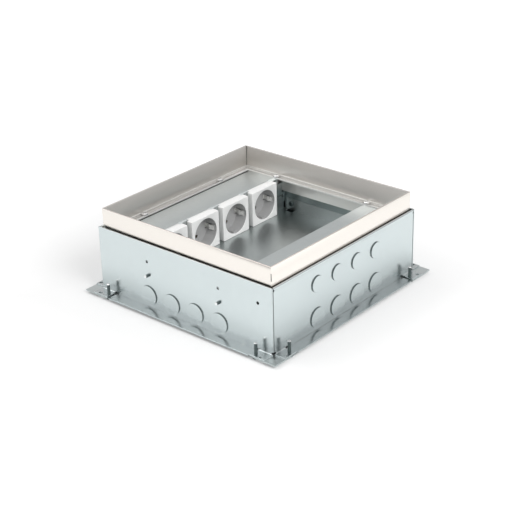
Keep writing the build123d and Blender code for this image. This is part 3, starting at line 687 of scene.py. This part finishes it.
# Hem of the side walls: height, how far it stands proud and bends inwards, the slope that
# leads to it, its bend, the half width of its relief, and the pattern's length past its top
HEM_HEIGHT, HEM_PROUD, HEM_INWARD = 3.4, 0.3, 1.3
HEM_SLOPE, HEM_BEND = 0.3, 1.54
HEM_RELIEF = 1.3
HEM_TURN, HEM_END = 5.2, 9.6

# Faces near a disc that are painted dark as the shade in the gap round its cut edge: heights
# above the tab's top and in the frame, the distance off the wall, and the cosine from which a
# face looks another way than the wall
DISC_SHADE_FOOT, DISC_SHADE_TOP, DISC_SHADE_REACH, DISC_SHADE_COSINE = 1.0, 80.0, 3.0, 0.7


def size_property(name, description, default):
    """A setting in mm."""
    return FloatProperty(name=name, description=f"{description}, mm", default=default)


class SheetSettings(bpy.types.PropertyGroup):
    """Folded walls."""

    bend: size_property("Bend", "Radius of the tabs' fold", 0.9)
    crease: size_property("Crease", "Radius of the middle flange's fold", 0.12)
    edge: size_property("Edge", "Rounding of the sheet's edges", 0.22)
    knockout: size_property("Knockout", "How far a disc stands out", 1.4)
    nib: size_property("Nib", "Width of the nibs that hold a disc", 0.9)


class ScrewSettings(bpy.types.PropertyGroup):
    """Screws."""

    thread_depth: size_property("Thread depth", "Depth of the threads", 0.32)
    facets: IntProperty(
        name="Facets", description="Points round a screw", default=40, min=16, max=96
    )


def round_opening(relief, offset):
    """Half width of the round end of a relief slot: the root of radius squared minus offset
    squared."""
    return np.sqrt(np.clip(relief**2 - offset**2, 0, None))


def foot_skins(half, middle, relief, settings):
    """Middle flange and corner tabs, up to just above the fold, as (flat pattern, fold
    height). The relief slots between them end in a round opening at the fold."""
    bend = settings.bend
    bend_top, notch = TAB_TOP + bend, half - CORNER_NOTCH
    rows = [FLANGE_TOP - FLANGE_REACH, FLANGE_TOP - bend, FLANGE_TOP + bend, bend_top]
    skins = [(tiled_sheet(middle, rows, lambda a, s: True, []), FLANGE_TOP)]
    rows = [TAB_TOP - FLANGE_REACH, TAB_TOP - bend, TAB_TOP, bend_top]
    for side in (-1, 1):
        columns = sorted(side * a for a in (SLOT_OUT, TAB_SPLIT, notch, half - SEAM))
        holes = []
        for (across, out, radius), left, right in (
            (STUD_HOLE, SLOT_OUT, TAB_SPLIT),
            (FIXING_HOLE, TAB_SPLIT, notch),
        ):
            block = (*sorted([side * left, side * right]), *rows[:2])
            holes.append((block, (side * across, TAB_TOP - out), [(radius, 0.0, 0.0)]))
        tabs = tiled_sheet(columns, rows, lambda a, s: abs(a) < notch or s < TAB_TOP, holes)
        skins.append((tabs, TAB_TOP))
    for (points, _), _ in skins:
        opening = round_opening(relief, points[:, 1] - FLANGE_TOP) - SLOT_HALF
        past = np.abs(points[:, 0]) - SLOT_MIDDLE
        fade = np.clip(1 - (np.abs(past) - SLOT_HALF) / SLOT_FADE, 0, 1)
        points[:, 0] += np.sign(points[:, 0]) * np.sign(past) * np.clip(opening, 0, None) * fade
    return skins


def wall_flat(half, disc_rows, holes, hemmed, settings):
    """Skins of the wall's sheet before and after its fold, as (flat pattern, fold height).

    The second coordinate is the height on the wall, and runs on below the fold to the
    flange's outer edge."""
    bend_top, notch = TAB_TOP + settings.bend, half - CORNER_NOTCH
    relief = math.hypot(bend_top - FLANGE_TOP, SLOT_HALF)
    middle = [0.0, KNOCKOUT_PITCH, 2 * KNOCKOUT_PITCH, SLOT_IN]
    middle = sorted(set([-a for a in middle] + middle))
    skins = foot_skins(half, middle, relief, settings)

    # Wall above the fold, with its discs and holes
    outer = [SLOT_IN, SLOT_OUT, TAB_SPLIT, notch, half - HEM_RELIEF, half]
    columns = sorted(set(middle + outer + [-a for a in outer]))
    rows = [bend_top, TAB_TOP + CORNER_NOTCH, BIG_DISC_TOP]
    if hemmed:
        top = WALL_TOP - HEM_HEIGHT
        rows += [SMALL_DISC_LOW, SMALL_DISC_HIGH, top - HEM_RELIEF, top + HEM_RELIEF]
        rows += [top + HEM_TURN, top + HEM_END]
    else:
        rows += [*LOWER_HOLE_EDGES, UPPER_HOLE_EDGES[1], WALL_TOP]
    features = []
    for (radius, height), low, high in disc_rows:
        rings = [(radius, 0.0, settings.nib), (radius, settings.knockout, 0.0)]
        for place in range(4):
            left = (place - 2) * KNOCKOUT_PITCH
            block = (left, left + KNOCKOUT_PITCH, low, high)
            features.append((block, (left + KNOCKOUT_PITCH / 2, height), rings, True))
    for across, height, *block in holes:
        features.append((block, (across, height), [(WALL_HOLE_RADIUS, 0.0, 0.0)]))

    def keep(a, s):
        at_notch = abs(a) > notch and s < TAB_TOP + CORNER_NOTCH
        near_hem = hemmed and abs(s - WALL_TOP + HEM_HEIGHT) < HEM_RELIEF
        return not (at_notch or (near_hem and abs(a) > half - HEM_RELIEF))

    upper = tiled_sheet(columns, rows, keep, features)
    points = upper[0]
    past = np.abs(points[:, 0]) - SLOT_MIDDLE
    arch = round_opening(relief, past) + FLANGE_TOP - bend_top
    inside = np.abs(past) < SLOT_HALF - SAME
    points[:, 1] += np.where(inside, arch * np.clip(1 - (points[:, 1] - bend_top), 0, 1), 0)
    skins.append((upper, TAB_TOP))
    return skins


def wall_skin(turn, half, disc_rows, holes, hemmed, settings):
    """One wall: its flat patterns bent at the foot and, where hemmed, over its top edge."""
    bent = []
    for flat, fold in wall_flat(half, disc_rows, holes, hemmed, settings):
        line = [(FLANGE_HALF, fold), (BOX_HALF, fold)]
        radii = [settings.bend if fold == TAB_TOP else settings.crease]
        if hemmed:
            top, out = WALL_TOP - HEM_HEIGHT, BOX_HALF + HEM_PROUD
            back = BOX_HALF - SHEET - HEM_INWARD
            line += [(BOX_HALF, top - HEM_SLOPE), (out, top), (out, WALL_TOP), (back, WALL_TOP)]
            line.append((back, top))
            radii += [HEM_SLOPE, HEM_SLOPE, HEM_BEND, HEM_BEND]
        else:
            line.append((BOX_HALF, WALL_TOP + 1))
        bent.append(bend(flat, line, radii, fold - FLANGE_REACH, turn))
    return join(*bent)


def disc_shade_faces(turn):
    """Test for the faces round the discs of the wall that faces turn degrees from -Y, which are
    painted dark as the shade in the gap round each disc.
    """
    out = np.array([math.sin(math.radians(turn)), -math.cos(math.radians(turn)), 0.0])

    def test(middle, normal):
        height = middle[:, 2]
        near = (height > TAB_TOP + DISC_SHADE_FOOT) & (height < DISC_SHADE_TOP)
        near &= np.abs(middle @ out - BOX_HALF) < DISC_SHADE_REACH
        return near & (normal @ out < DISC_SHADE_COSINE)

    return test


class OBJECT_OT_floor_box_walls(bpy.types.Operator):
    """Folds the four walls with their flanges, tabs, knockouts and holes"""

    bl_idname = "object.floor_box_walls"
    bl_label = "Walls"

    def execute(self, context):
        settings = context.scene.floor_box_sheet
        big = (BIG_DISC, TAB_TOP + settings.bend, BIG_DISC_TOP)
        small = (SMALL_DISC, SMALL_DISC_LOW, SMALL_DISC_HIGH)
        holes = [(EARTH_HOLE_ACROSS, WALL_HOLE_HEIGHT, SLOT_IN, TAB_SPLIT, *UPPER_HOLE_EDGES)]
        for side in (-1, 1):
            across = side * WALL_HOLE_ACROSS
            sides = sorted([side * KNOCKOUT_PITCH, side * 2 * KNOCKOUT_PITCH])
            holes.append((across, WALL_HOLE_HEIGHT, *sides, *UPPER_HOLE_EDGES))
            holes.append((across, TRAY_SCREW_HEIGHT, *sides, *LOWER_HOLE_EDGES))
        for node, turn, half, discs, drilled, hemmed in (
            ("wall_front", 0, BOX_HALF, [big], holes, False),
            ("wall_back", 180, BOX_HALF, [big], holes, False),
            ("wall_left", -90, SIDE_HALF - SEAM_SHOWN, [big, small], [], True),
            ("wall_right", 90, SIDE_HALF - SEAM_SHOWN, [big, small], [], True),
        ):
            skin = wall_skin(turn, half, discs, drilled, hemmed, settings)
            # The discs' cut edges are painted dark as the shade in the gap round them
            second = ("cut_edge_shade", disc_shade_faces(turn))
            rounding = {"edge": settings.edge, "sharp": SHEET_SHARP, "sheet": SHEET}
            add_surface(node, skin, "galvanised", "box", "galvanised", second, **rounding)
        return {"FINISHED"}


# Radii, pitches and lengths of the screws in mm. A shank overlaps its head or foot unseen, a
# thread ends in a small step, and a head's play keeps it off its seat
CHAMFER, OVERLAP, STEP = 0.2, 0.5, 0.05
LIFT_RADIUS, LIFT_PITCH, LIFT_TIP_RADIUS, LIFT_TIP_HEIGHT, LIFT_NECK = 2.5, 0.8, 1.9, 0.5, 4.0
LIFT_HEAD_RADIUS, LIFT_HEAD_HEIGHT, LIFT_HEAD_ROUND, HEAD_PLAY = 4.5, 2.6, 1.0, 0.05
RING_RADIUS, RING_INSIDE, RING_HEIGHT, RING_BELOW_HEAD = 4.0, 2.4, 1.4, 2.1
STUD_RADIUS, STUD_PITCH = 2.0, 0.7
CAP_RADIUS, CAP_FOOT, CAP_TOP, CAP_ROUND = 2.3, 1.0, 0.6, 0.1
FOOT_RADIUS, FOOT_HEIGHT, FOOT_CHAMFER = 4.2, 1.2, 0.3
TRAY_SCREW_RADIUS, TRAY_SCREW_PITCH, TRAY_THREAD_DEPTH = 2.0, 0.7, 0.25
TRAY_SCREW_END, TRAY_SCREW_TIP = 7.0, 0.5
PAN_PROFILE = [(0, 0), (3.7, 0), (3.8, 0.2), (3.75, 1.2), (3.4, 1.8), (2.8, 2.15)]
# Crown, then the length, width and depth of the slots in each kind of end
LIFT_CROWN, LIFT_SLOT = 0.35, (5.2, 1.1, 1.7)
STUD_CROWN, STUD_SLOT = 0.55, (5.0, 0.6, 0.9)
PAN_CROWN, PAN_SLOT, PAN_TURN = 0.25, (3.6, 0.8, 1.2), 0.4


def lift_screw_skin(low, high, turn, settings):
    """Cross-recessed screw with its retaining ring, from its tip to the top of its head,
    whose edge is a quarter circle. Its thread ends short of the ring."""
    count, depth = settings.facets, settings.thread_depth
    head_foot = high - LIFT_HEAD_HEIGHT
    tip_top, neck_foot = low + LIFT_TIP_HEIGHT, head_foot - LIFT_NECK
    neck_top = head_foot + OVERLAP
    tip = [(0, low), (LIFT_TIP_RADIUS, low), (LIFT_RADIUS - depth, tip_top)]
    neck = [(LIFT_RADIUS, neck_foot + CHAMFER), (LIFT_RADIUS, neck_top), (0, neck_top)]
    thread = thread_loops(LIFT_RADIUS, depth, LIFT_PITCH, tip_top, neck_foot, count)
    shank = np.concatenate([turned_loops(tip, count), thread, turned_loops(neck, count)])
    top = head_foot - RING_BELOW_HEAD
    bottom = top - RING_HEIGHT
    rim = RING_RADIUS - CHAMFER
    ring = [(RING_INSIDE, bottom), (rim, bottom), (RING_RADIUS, bottom + CHAMFER)]
    ring += [(RING_RADIUS, top - CHAMFER), (rim, top), (RING_INSIDE, top), ring[0]]
    ring = turned_loops(ring, count)
    seat, flat = head_foot + HEAD_PLAY, LIFT_HEAD_RADIUS - LIFT_HEAD_ROUND
    side = [(0, seat), (LIFT_HEAD_RADIUS - CHAMFER, seat), (LIFT_HEAD_RADIUS, seat + CHAMFER)]
    for angle in np.linspace(0, math.pi / 2, 6)[:-1]:
        rise = LIFT_HEAD_ROUND * math.sin(angle) - LIFT_HEAD_ROUND - LIFT_CROWN
        side.append((flat + LIFT_HEAD_ROUND * math.cos(angle), high + rise))
    length, width, sink = LIFT_SLOT
    slots = [(length, turn), (length, turn + math.pi / 2)]
    count *= 2
    end = recessed_loops(flat, high - LIFT_CROWN, LIFT_CROWN, slots, width, sink, count, rings=30)
    head = np.concatenate([turned_loops(side, count), end])
    return join(loft(shank), loft(ring), loft(head))


def levelling_screw_skin(low, high, turn, settings):
    """Threaded stud with a foot disc and, at its upper end, a slotted cap."""
    count, depth = 2 * settings.facets, settings.thread_depth
    foot_top, rim = low + FOOT_HEIGHT, FOOT_RADIUS - FOOT_CHAMFER
    foot = [(0, low), (rim, low), (FOOT_RADIUS, low + FOOT_CHAMFER)]
    foot += [(FOOT_RADIUS, foot_top - FOOT_CHAMFER), (rim, foot_top), (0, foot_top)]
    cap_foot, end = high - CAP_FOOT, high - STUD_CROWN
    cap = [(STUD_RADIUS, cap_foot), (CAP_RADIUS, cap_foot + STEP), (CAP_RADIUS, high - CAP_TOP)]
    flat = CAP_RADIUS - CAP_ROUND
    length, width, sink = STUD_SLOT
    slots = [(length, turn)]
    shank = np.concatenate(
        [
            turned_loops([(0, low + 1), (STUD_RADIUS - depth, low + 1)], count),
            thread_loops(STUD_RADIUS, depth, STUD_PITCH, foot_top, cap_foot - STEP, count),
            turned_loops(cap, count),
            recessed_loops(flat, end, STUD_CROWN, slots, width, sink, count, rings=24),
        ]
    )
    return join(loft(turned_loops(foot, count)), loft(shank))


def tray_screw_skin(settings):
    """Pan-head screw along Z: head below zero, shank above, ending in a chamfer."""
    count, radius, stop = settings.facets, TRAY_SCREW_RADIUS, TRAY_SCREW_END
    tip_foot = stop - TRAY_SCREW_TIP
    tip = [(radius - STEP, tip_foot + STEP), (radius - CHAMFER, stop), (0, stop)]
    shank = np.concatenate(
        [
            turned_loops([(0, -OVERLAP), (radius - 0.3, -OVERLAP)], count),
            thread_loops(radius, TRAY_THREAD_DEPTH, TRAY_SCREW_PITCH, 0.0, tip_foot, count),
            turned_loops(tip, count),
        ]
    )
    length, width, sink = PAN_SLOT
    slots = [(length, PAN_TURN), (length, PAN_TURN + math.pi / 2)]
    rim, height = PAN_PROFILE[-1]
    end = recessed_loops(rim, height, PAN_CROWN, slots, width, sink, 2 * count, rings=20)
    head = np.concatenate([turned_loops(PAN_PROFILE, 2 * count), end])
    return join(loft(shank), loft(head * np.array([1, -1, -1])))


# Turn in degrees from one screw to the next, and the height in mm of its end that gets the
# screws' zinc as a painted highlight
LIFT_STEP, LEVELLING_STEP = 20, 37
HIGHLIGHT_END, TRAY_HIGHLIGHT_END = 1.0, 0.6
# Distance in mm of the tray screws' heads from the wall's inside
TRAY_SCREW_GAP = 1.2


class OBJECT_OT_floor_box_screws(bpy.types.Operator):
    """Cuts the threads and recesses of the lift, levelling and tray screws"""

    bl_idname = "object.floor_box_screws"
    bl_label = "Screws"

    def execute(self, context):
        settings = context.scene.floor_box_screws
        for number in range(1, 9):
            for kind, maker, step, finish in (
                ("lift_screw", lift_screw_skin, math.radians(LIFT_STEP), "zinc"),
                ("levelling_screw", levelling_screw_skin, math.radians(LEVELLING_STEP), "studs"),
            ):
                node = f"{kind}_{number}"
                low, high = mm_box(node)
                centre = (low + high) / 2
                skin = maker(low[2], high[2], step * number, settings)
                skin = moved(skin, (centre[0], centre[1], 0))
                top = high[2] - HIGHLIGHT_END
                # The top of each screw gets the screws' pale zinc as a painted highlight
                painted_highlight = ("zinc", lambda middle, normal, top=top: middle[:, 2] > top)
                add_surface(node, skin, finish, node, "zinc", painted_highlight)
        skins = []
        inner = BOX_HALF - SHEET - TRAY_SCREW_GAP
        for sign in (-1, 1):
            for across in (-WALL_HOLE_ACROSS, WALL_HOLE_ACROSS):
                screw = aimed(tray_screw_skin(settings), (0, sign))
                skins.append(moved(screw, (across, sign * inner, TRAY_SCREW_HEIGHT)))
        end = inner + TRAY_SCREW_END - TRAY_HIGHLIGHT_END
        # The tips of the tray screws get the screws' pale zinc as a painted highlight
        painted_highlight = ("zinc", lambda middle, normal: np.abs(middle[:, 1]) > end)
        add_surface("tray_screws", join(*skins), "studs", "box", "zinc", painted_highlight)
        return {"FINISHED"}


# Rounded copies of CAD pieces


# Heights in mm between which the collar's corners are slit, the margin past them, and the
# cosine from which a face is off both axes
COLLAR_SLIT_LOW, COLLAR_SLIT_HIGH, SLIT_MARGIN, SLIT_COSINE = 97.3, 106.8, 0.1, 0.9
# Rounding of edges in mm by material slot
ROUNDING = {"stainless": 0.25, "white_plastic": 0.35, "grey_plastic": 0.4}
# Nodes that the operators above draw again
DRAWN_AGAIN = ("wall_", "lift_screw", "levelling_screw", "tray_screws")


def slit_faces(middle, normal):
    """Test for the cut faces of the slits in the collar's corners, which are painted dark as the
    shade inside the slits.
    """
    height = middle[:, 2]
    within = height > COLLAR_SLIT_LOW - SLIT_MARGIN
    within &= height < COLLAR_SLIT_HIGH + SLIT_MARGIN
    return within & (np.abs(normal[:, :2]).max(axis=1) < SLIT_COSINE)


class OBJECT_OT_floor_box_rounded(bpy.types.Operator):
    """Adds the collar, ledge, sockets and housings with rounded edges, and the carriers,
    tray, base plate and fittings as they are"""

    bl_idname = "object.floor_box_rounded"
    bl_label = "Rounded parts"

    def execute(self, context):
        for row in frame["record"]["subparts"]:
            node, kind = row["node"], row["material_slot"]
            if node.startswith(DRAWN_AGAIN):
                continue
            body = "collar_frame" if node in ("collar", "ledge") else "box"
            finish = "inside" if kind == "galvanised" else kind
            # The tray takes its own colour, darkened as painted shade of the box
            if node in ("ledge", "tray"):
                finish = node
            # The cut faces of the collar's slits are painted dark as the shade inside them
            second = ("cut_edge_shade", slit_faces) if node == "collar" else None
            add_rounded(node, finish, body, kind, second, ROUNDING.get(kind, 0.0))
        return {"FINISHED"}


# Stage


# Camera direction in degrees and place in metres, from the photograph
CAMERA_AZIMUTH, CAMERA_ELEVATION, CAMERA_ROLL = 41.06, 25.65, -1.52
CAMERA_PLACE = (0.99204, -1.14100, 0.76184)
# Half the floor's side in metres
FLOOR_HALF = 6.0
# Paint of the floor, what mirrors show of it beside the box, darker there as a painted
# shadow, and further out, and the distances from the middle in metres between which that changes
FLOOR_PAINT, MIRRORED_NEAR, MIRRORED_FAR = "E4E4E4", "C8CDCD", "F9FDFD"
FLOOR_SHADE_FROM, FLOOR_SHADE_TO = 0.15, 0.20
# Glow that only the camera sees, near and far, and the distances in metres that it fades over
GLOW_NEAR, GLOW_FAR = 0.2, 0.6
FLOOR_FADE_FROM, FLOOR_FADE_TO = 0.2, 0.8
# World: levels for the camera, for diffuse light and mirrored from above, and the heights of
# the unit direction between which the last is reached
CAMERA_SKY, DIFFUSE_SKY, HIGH_SKY = 1.0, 0.6, 1.1
SKY_LOW, SKY_HIGH = 0.5, 0.8
WHITE = (1, 1, 1, 1)
# Lamps: place in metres, power as a share of the lamp power, width in metres
KEY_LIGHT = ((-1.2, -0.6, 1.8), 1.0, 1.6)
FILL_LIGHT = ((1.6, -0.3, 1.3), 2.4, 1.2)


class StageSettings(bpy.types.PropertyGroup):
    """Camera and lights."""

    lens: FloatProperty(
        name="Lens", description="Focal length on a 36 mm sensor", default=92.62, unit="CAMERA"
    )
    low_sky: FloatProperty(
        name="Low sky", description="Brightness mirrored from near the horizon", default=0.5
    )
    lamp_power: FloatProperty(
        name="Lamp power", description="Power of the main soft light", default=10.0, unit="POWER"
    )


def aimed_matrix(place, right, up, back):
    """World matrix of an object at a place whose local axes are right, up and back."""
    return Matrix.Translation(place) @ Matrix(np.column_stack([right, up, back]).tolist()).to_4x4()


def camera_matrix():
    """Place and direction of the photograph's camera: backwards along the azimuth and
    elevation, then rolled about the line of sight."""
    angles = (CAMERA_AZIMUTH, CAMERA_ELEVATION, CAMERA_ROLL)
    azimuth, elevation, roll = (math.radians(a) for a in angles)
    level = math.cos(elevation)
    back = [math.sin(azimuth) * level, -math.cos(azimuth) * level, math.sin(elevation)]
    right = np.array([math.cos(azimuth), math.sin(azimuth), 0.0])
    up = np.cross(back, right)
    rolled_right = right * math.cos(roll) + up * math.sin(roll)
    rolled_up = up * math.cos(roll) - right * math.sin(roll)
    return aimed_matrix(CAMERA_PLACE, rolled_right, rolled_up, np.array(back))


def floor_material():
    """Pale matt floor: greyer near the box where it is mirrored, as a painted shadow, and for
    the camera raised to white away from the box, so that only a soft shadow is seen."""
    material, tree, output, place = new_material("pale_floor")
    ray = add_node(tree, "ShaderNodeLightPath")
    x, y, _ = unsigned_place(tree, place)
    far = calculate(tree, "MAXIMUM", {0: x, 1: y})
    beyond = spread(tree, far, 0.0, 1.0, FLOOR_SHADE_FROM, FLOOR_SHADE_TO)
    mirrored = blend(tree, beyond, {6: linear(MIRRORED_NEAR), 7: linear(MIRRORED_FAR)})
    tone = blend(tree, (ray, "Is Glossy Ray"), {6: linear(FLOOR_PAINT)}, {7: mirrored})
    paint = add_node(tree, "ShaderNodeBsdfDiffuse", {}, {"Color": tone})
    fading = spread(tree, far, GLOW_NEAR, GLOW_FAR, FLOOR_FADE_FROM, FLOOR_FADE_TO)
    share = calculate(tree, "MULTIPLY", {0: (ray, "Is Camera Ray"), 1: fading})
    glow = add_node(tree, "ShaderNodeEmission", {"Color": WHITE}, {"Strength": share})
    both = add_node(tree, "ShaderNodeAddShader", {}, {0: (paint, "BSDF"), 1: (glow, "Emission")})
    tree.links.new(both.outputs["Shader"], output.inputs["Surface"])
    return material


def make_world(low_sky):
    """World: white to the camera, plain to diffuse light, and in mirrors paler overhead
    than near the horizon."""
    world = bpy.data.worlds.new("world")
    world.use_nodes = True
    tree = world.node_tree
    tree.nodes.clear()
    output = add_node(tree, "ShaderNodeOutputWorld")
    ray = add_node(tree, "ShaderNodeLightPath")
    direction = add_node(tree, "ShaderNodeTexCoord")
    parts = add_node(tree, "ShaderNodeSeparateXYZ", {}, {"Vector": (direction, "Generated")})
    mirrored = spread(tree, (parts, "Z"), low_sky, HIGH_SKY, SKY_LOW, SKY_HIGH)
    links = {"Factor": (ray, "Is Glossy Ray"), 3: mirrored}
    plain = add_node(tree, "ShaderNodeMix", {2: DIFFUSE_SKY}, links)
    links = {"Factor": (ray, "Is Camera Ray"), 2: (plain, "Result")}
    strength = add_node(tree, "ShaderNodeMix", {3: CAMERA_SKY}, links)
    links = {"Strength": (strength, "Result")}
    sky = add_node(tree, "ShaderNodeBackground", {"Color": WHITE}, links)
    tree.links.new(sky.outputs["Background"], output.inputs["Surface"])
    return world


class OBJECT_OT_floor_box_stage(bpy.types.Operator):
    """Adds the floor, the soft lights and the camera at the photograph's angle"""

    bl_idname = "object.floor_box_stage"
    bl_label = "Stage"

    def execute(self, context):
        settings = context.scene.floor_box_stage
        scene = context.scene
        camera_data = bpy.data.cameras.new("camera")
        camera_data.lens = settings.lens
        camera_data.sensor_width = 36.0
        camera = bpy.data.objects.new("camera", camera_data)
        scene.collection.objects.link(camera)
        scene.camera = camera
        camera.matrix_world = camera_matrix()

        size = FLOOR_HALF
        corners = [(-size, -size, 0), (size, -size, 0), (size, size, 0), (-size, size, 0)]
        mesh = bpy.data.meshes.new("floor")
        mesh.from_pydata(corners, [], [(0, 1, 2, 3)])
        mesh.materials.append(floor_material())
        floor = bpy.data.objects.new("floor", mesh)
        scene.collection.objects.link(floor)

        scene.world = make_world(settings.low_sky)
        for name, (place, share, width) in (("key_light", KEY_LIGHT), ("fill_light", FILL_LIGHT)):
            lamp_data = bpy.data.lights.new(name, "AREA")
            lamp_data.energy = settings.lamp_power * share
            lamp_data.size = width
            lamp = bpy.data.objects.new(name, lamp_data)
            scene.collection.objects.link(lamp)
            lamp.visible_glossy = name == "key_light"
            back = np.array(place) / np.linalg.norm(place)
            side = np.cross([0, 0, 1.0], back)
            side /= np.linalg.norm(side)
            lamp.matrix_world = aimed_matrix(place, side, np.cross(back, side), back)
        scene.view_settings.view_transform = "Standard"
        return {"FINISHED"}


class VIEW3D_PT_floor_box(bpy.types.Panel):
    """Lists the sizes, colours and operators of the floor box"""

    bl_idname = "VIEW3D_PT_floor_box"
    bl_label = "Floor Box"
    bl_space_type = "VIEW_3D"
    bl_region_type = "UI"
    bl_category = "Floor Box"

    def draw(self, context):
        for group_name in GROUPS:
            group = getattr(context.scene, group_name)
            box = self.layout.box()
            for name in group.__annotations__:
                box.prop(group, name)
        for operator in OPERATORS:
            self.layout.operator(operator.bl_idname)


GROUPS = {
    "floor_box_sheet": SheetSettings,
    "floor_box_screws": ScrewSettings,
    "floor_box_colours": ColourSettings,
    "floor_box_stage": StageSettings,
}
OPERATORS = (
    OBJECT_OT_floor_box_stage,
    OBJECT_OT_floor_box_walls,
    OBJECT_OT_floor_box_screws,
    OBJECT_OT_floor_box_rounded,
)
CLASSES = (*GROUPS.values(), *OPERATORS, VIEW3D_PT_floor_box)


def register():
    """Registers the classes and hangs the settings on the scene."""
    for cls in CLASSES:
        bpy.utils.register_class(cls)
    for name, group in GROUPS.items():
        setattr(bpy.types.Scene, name, PointerProperty(type=group))


def unregister():
    """Takes back what register did."""
    for name in GROUPS:
        delattr(bpy.types.Scene, name)
    for cls in reversed(CLASSES):
        bpy.utils.unregister_class(cls)


def main():
    """Registers the add-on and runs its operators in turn."""
    register()
    bpy.ops.object.floor_box_stage()
    bpy.ops.object.floor_box_walls()
    bpy.ops.object.floor_box_screws()
    bpy.ops.object.floor_box_rounded()


if __name__ == "__main__":
    main()
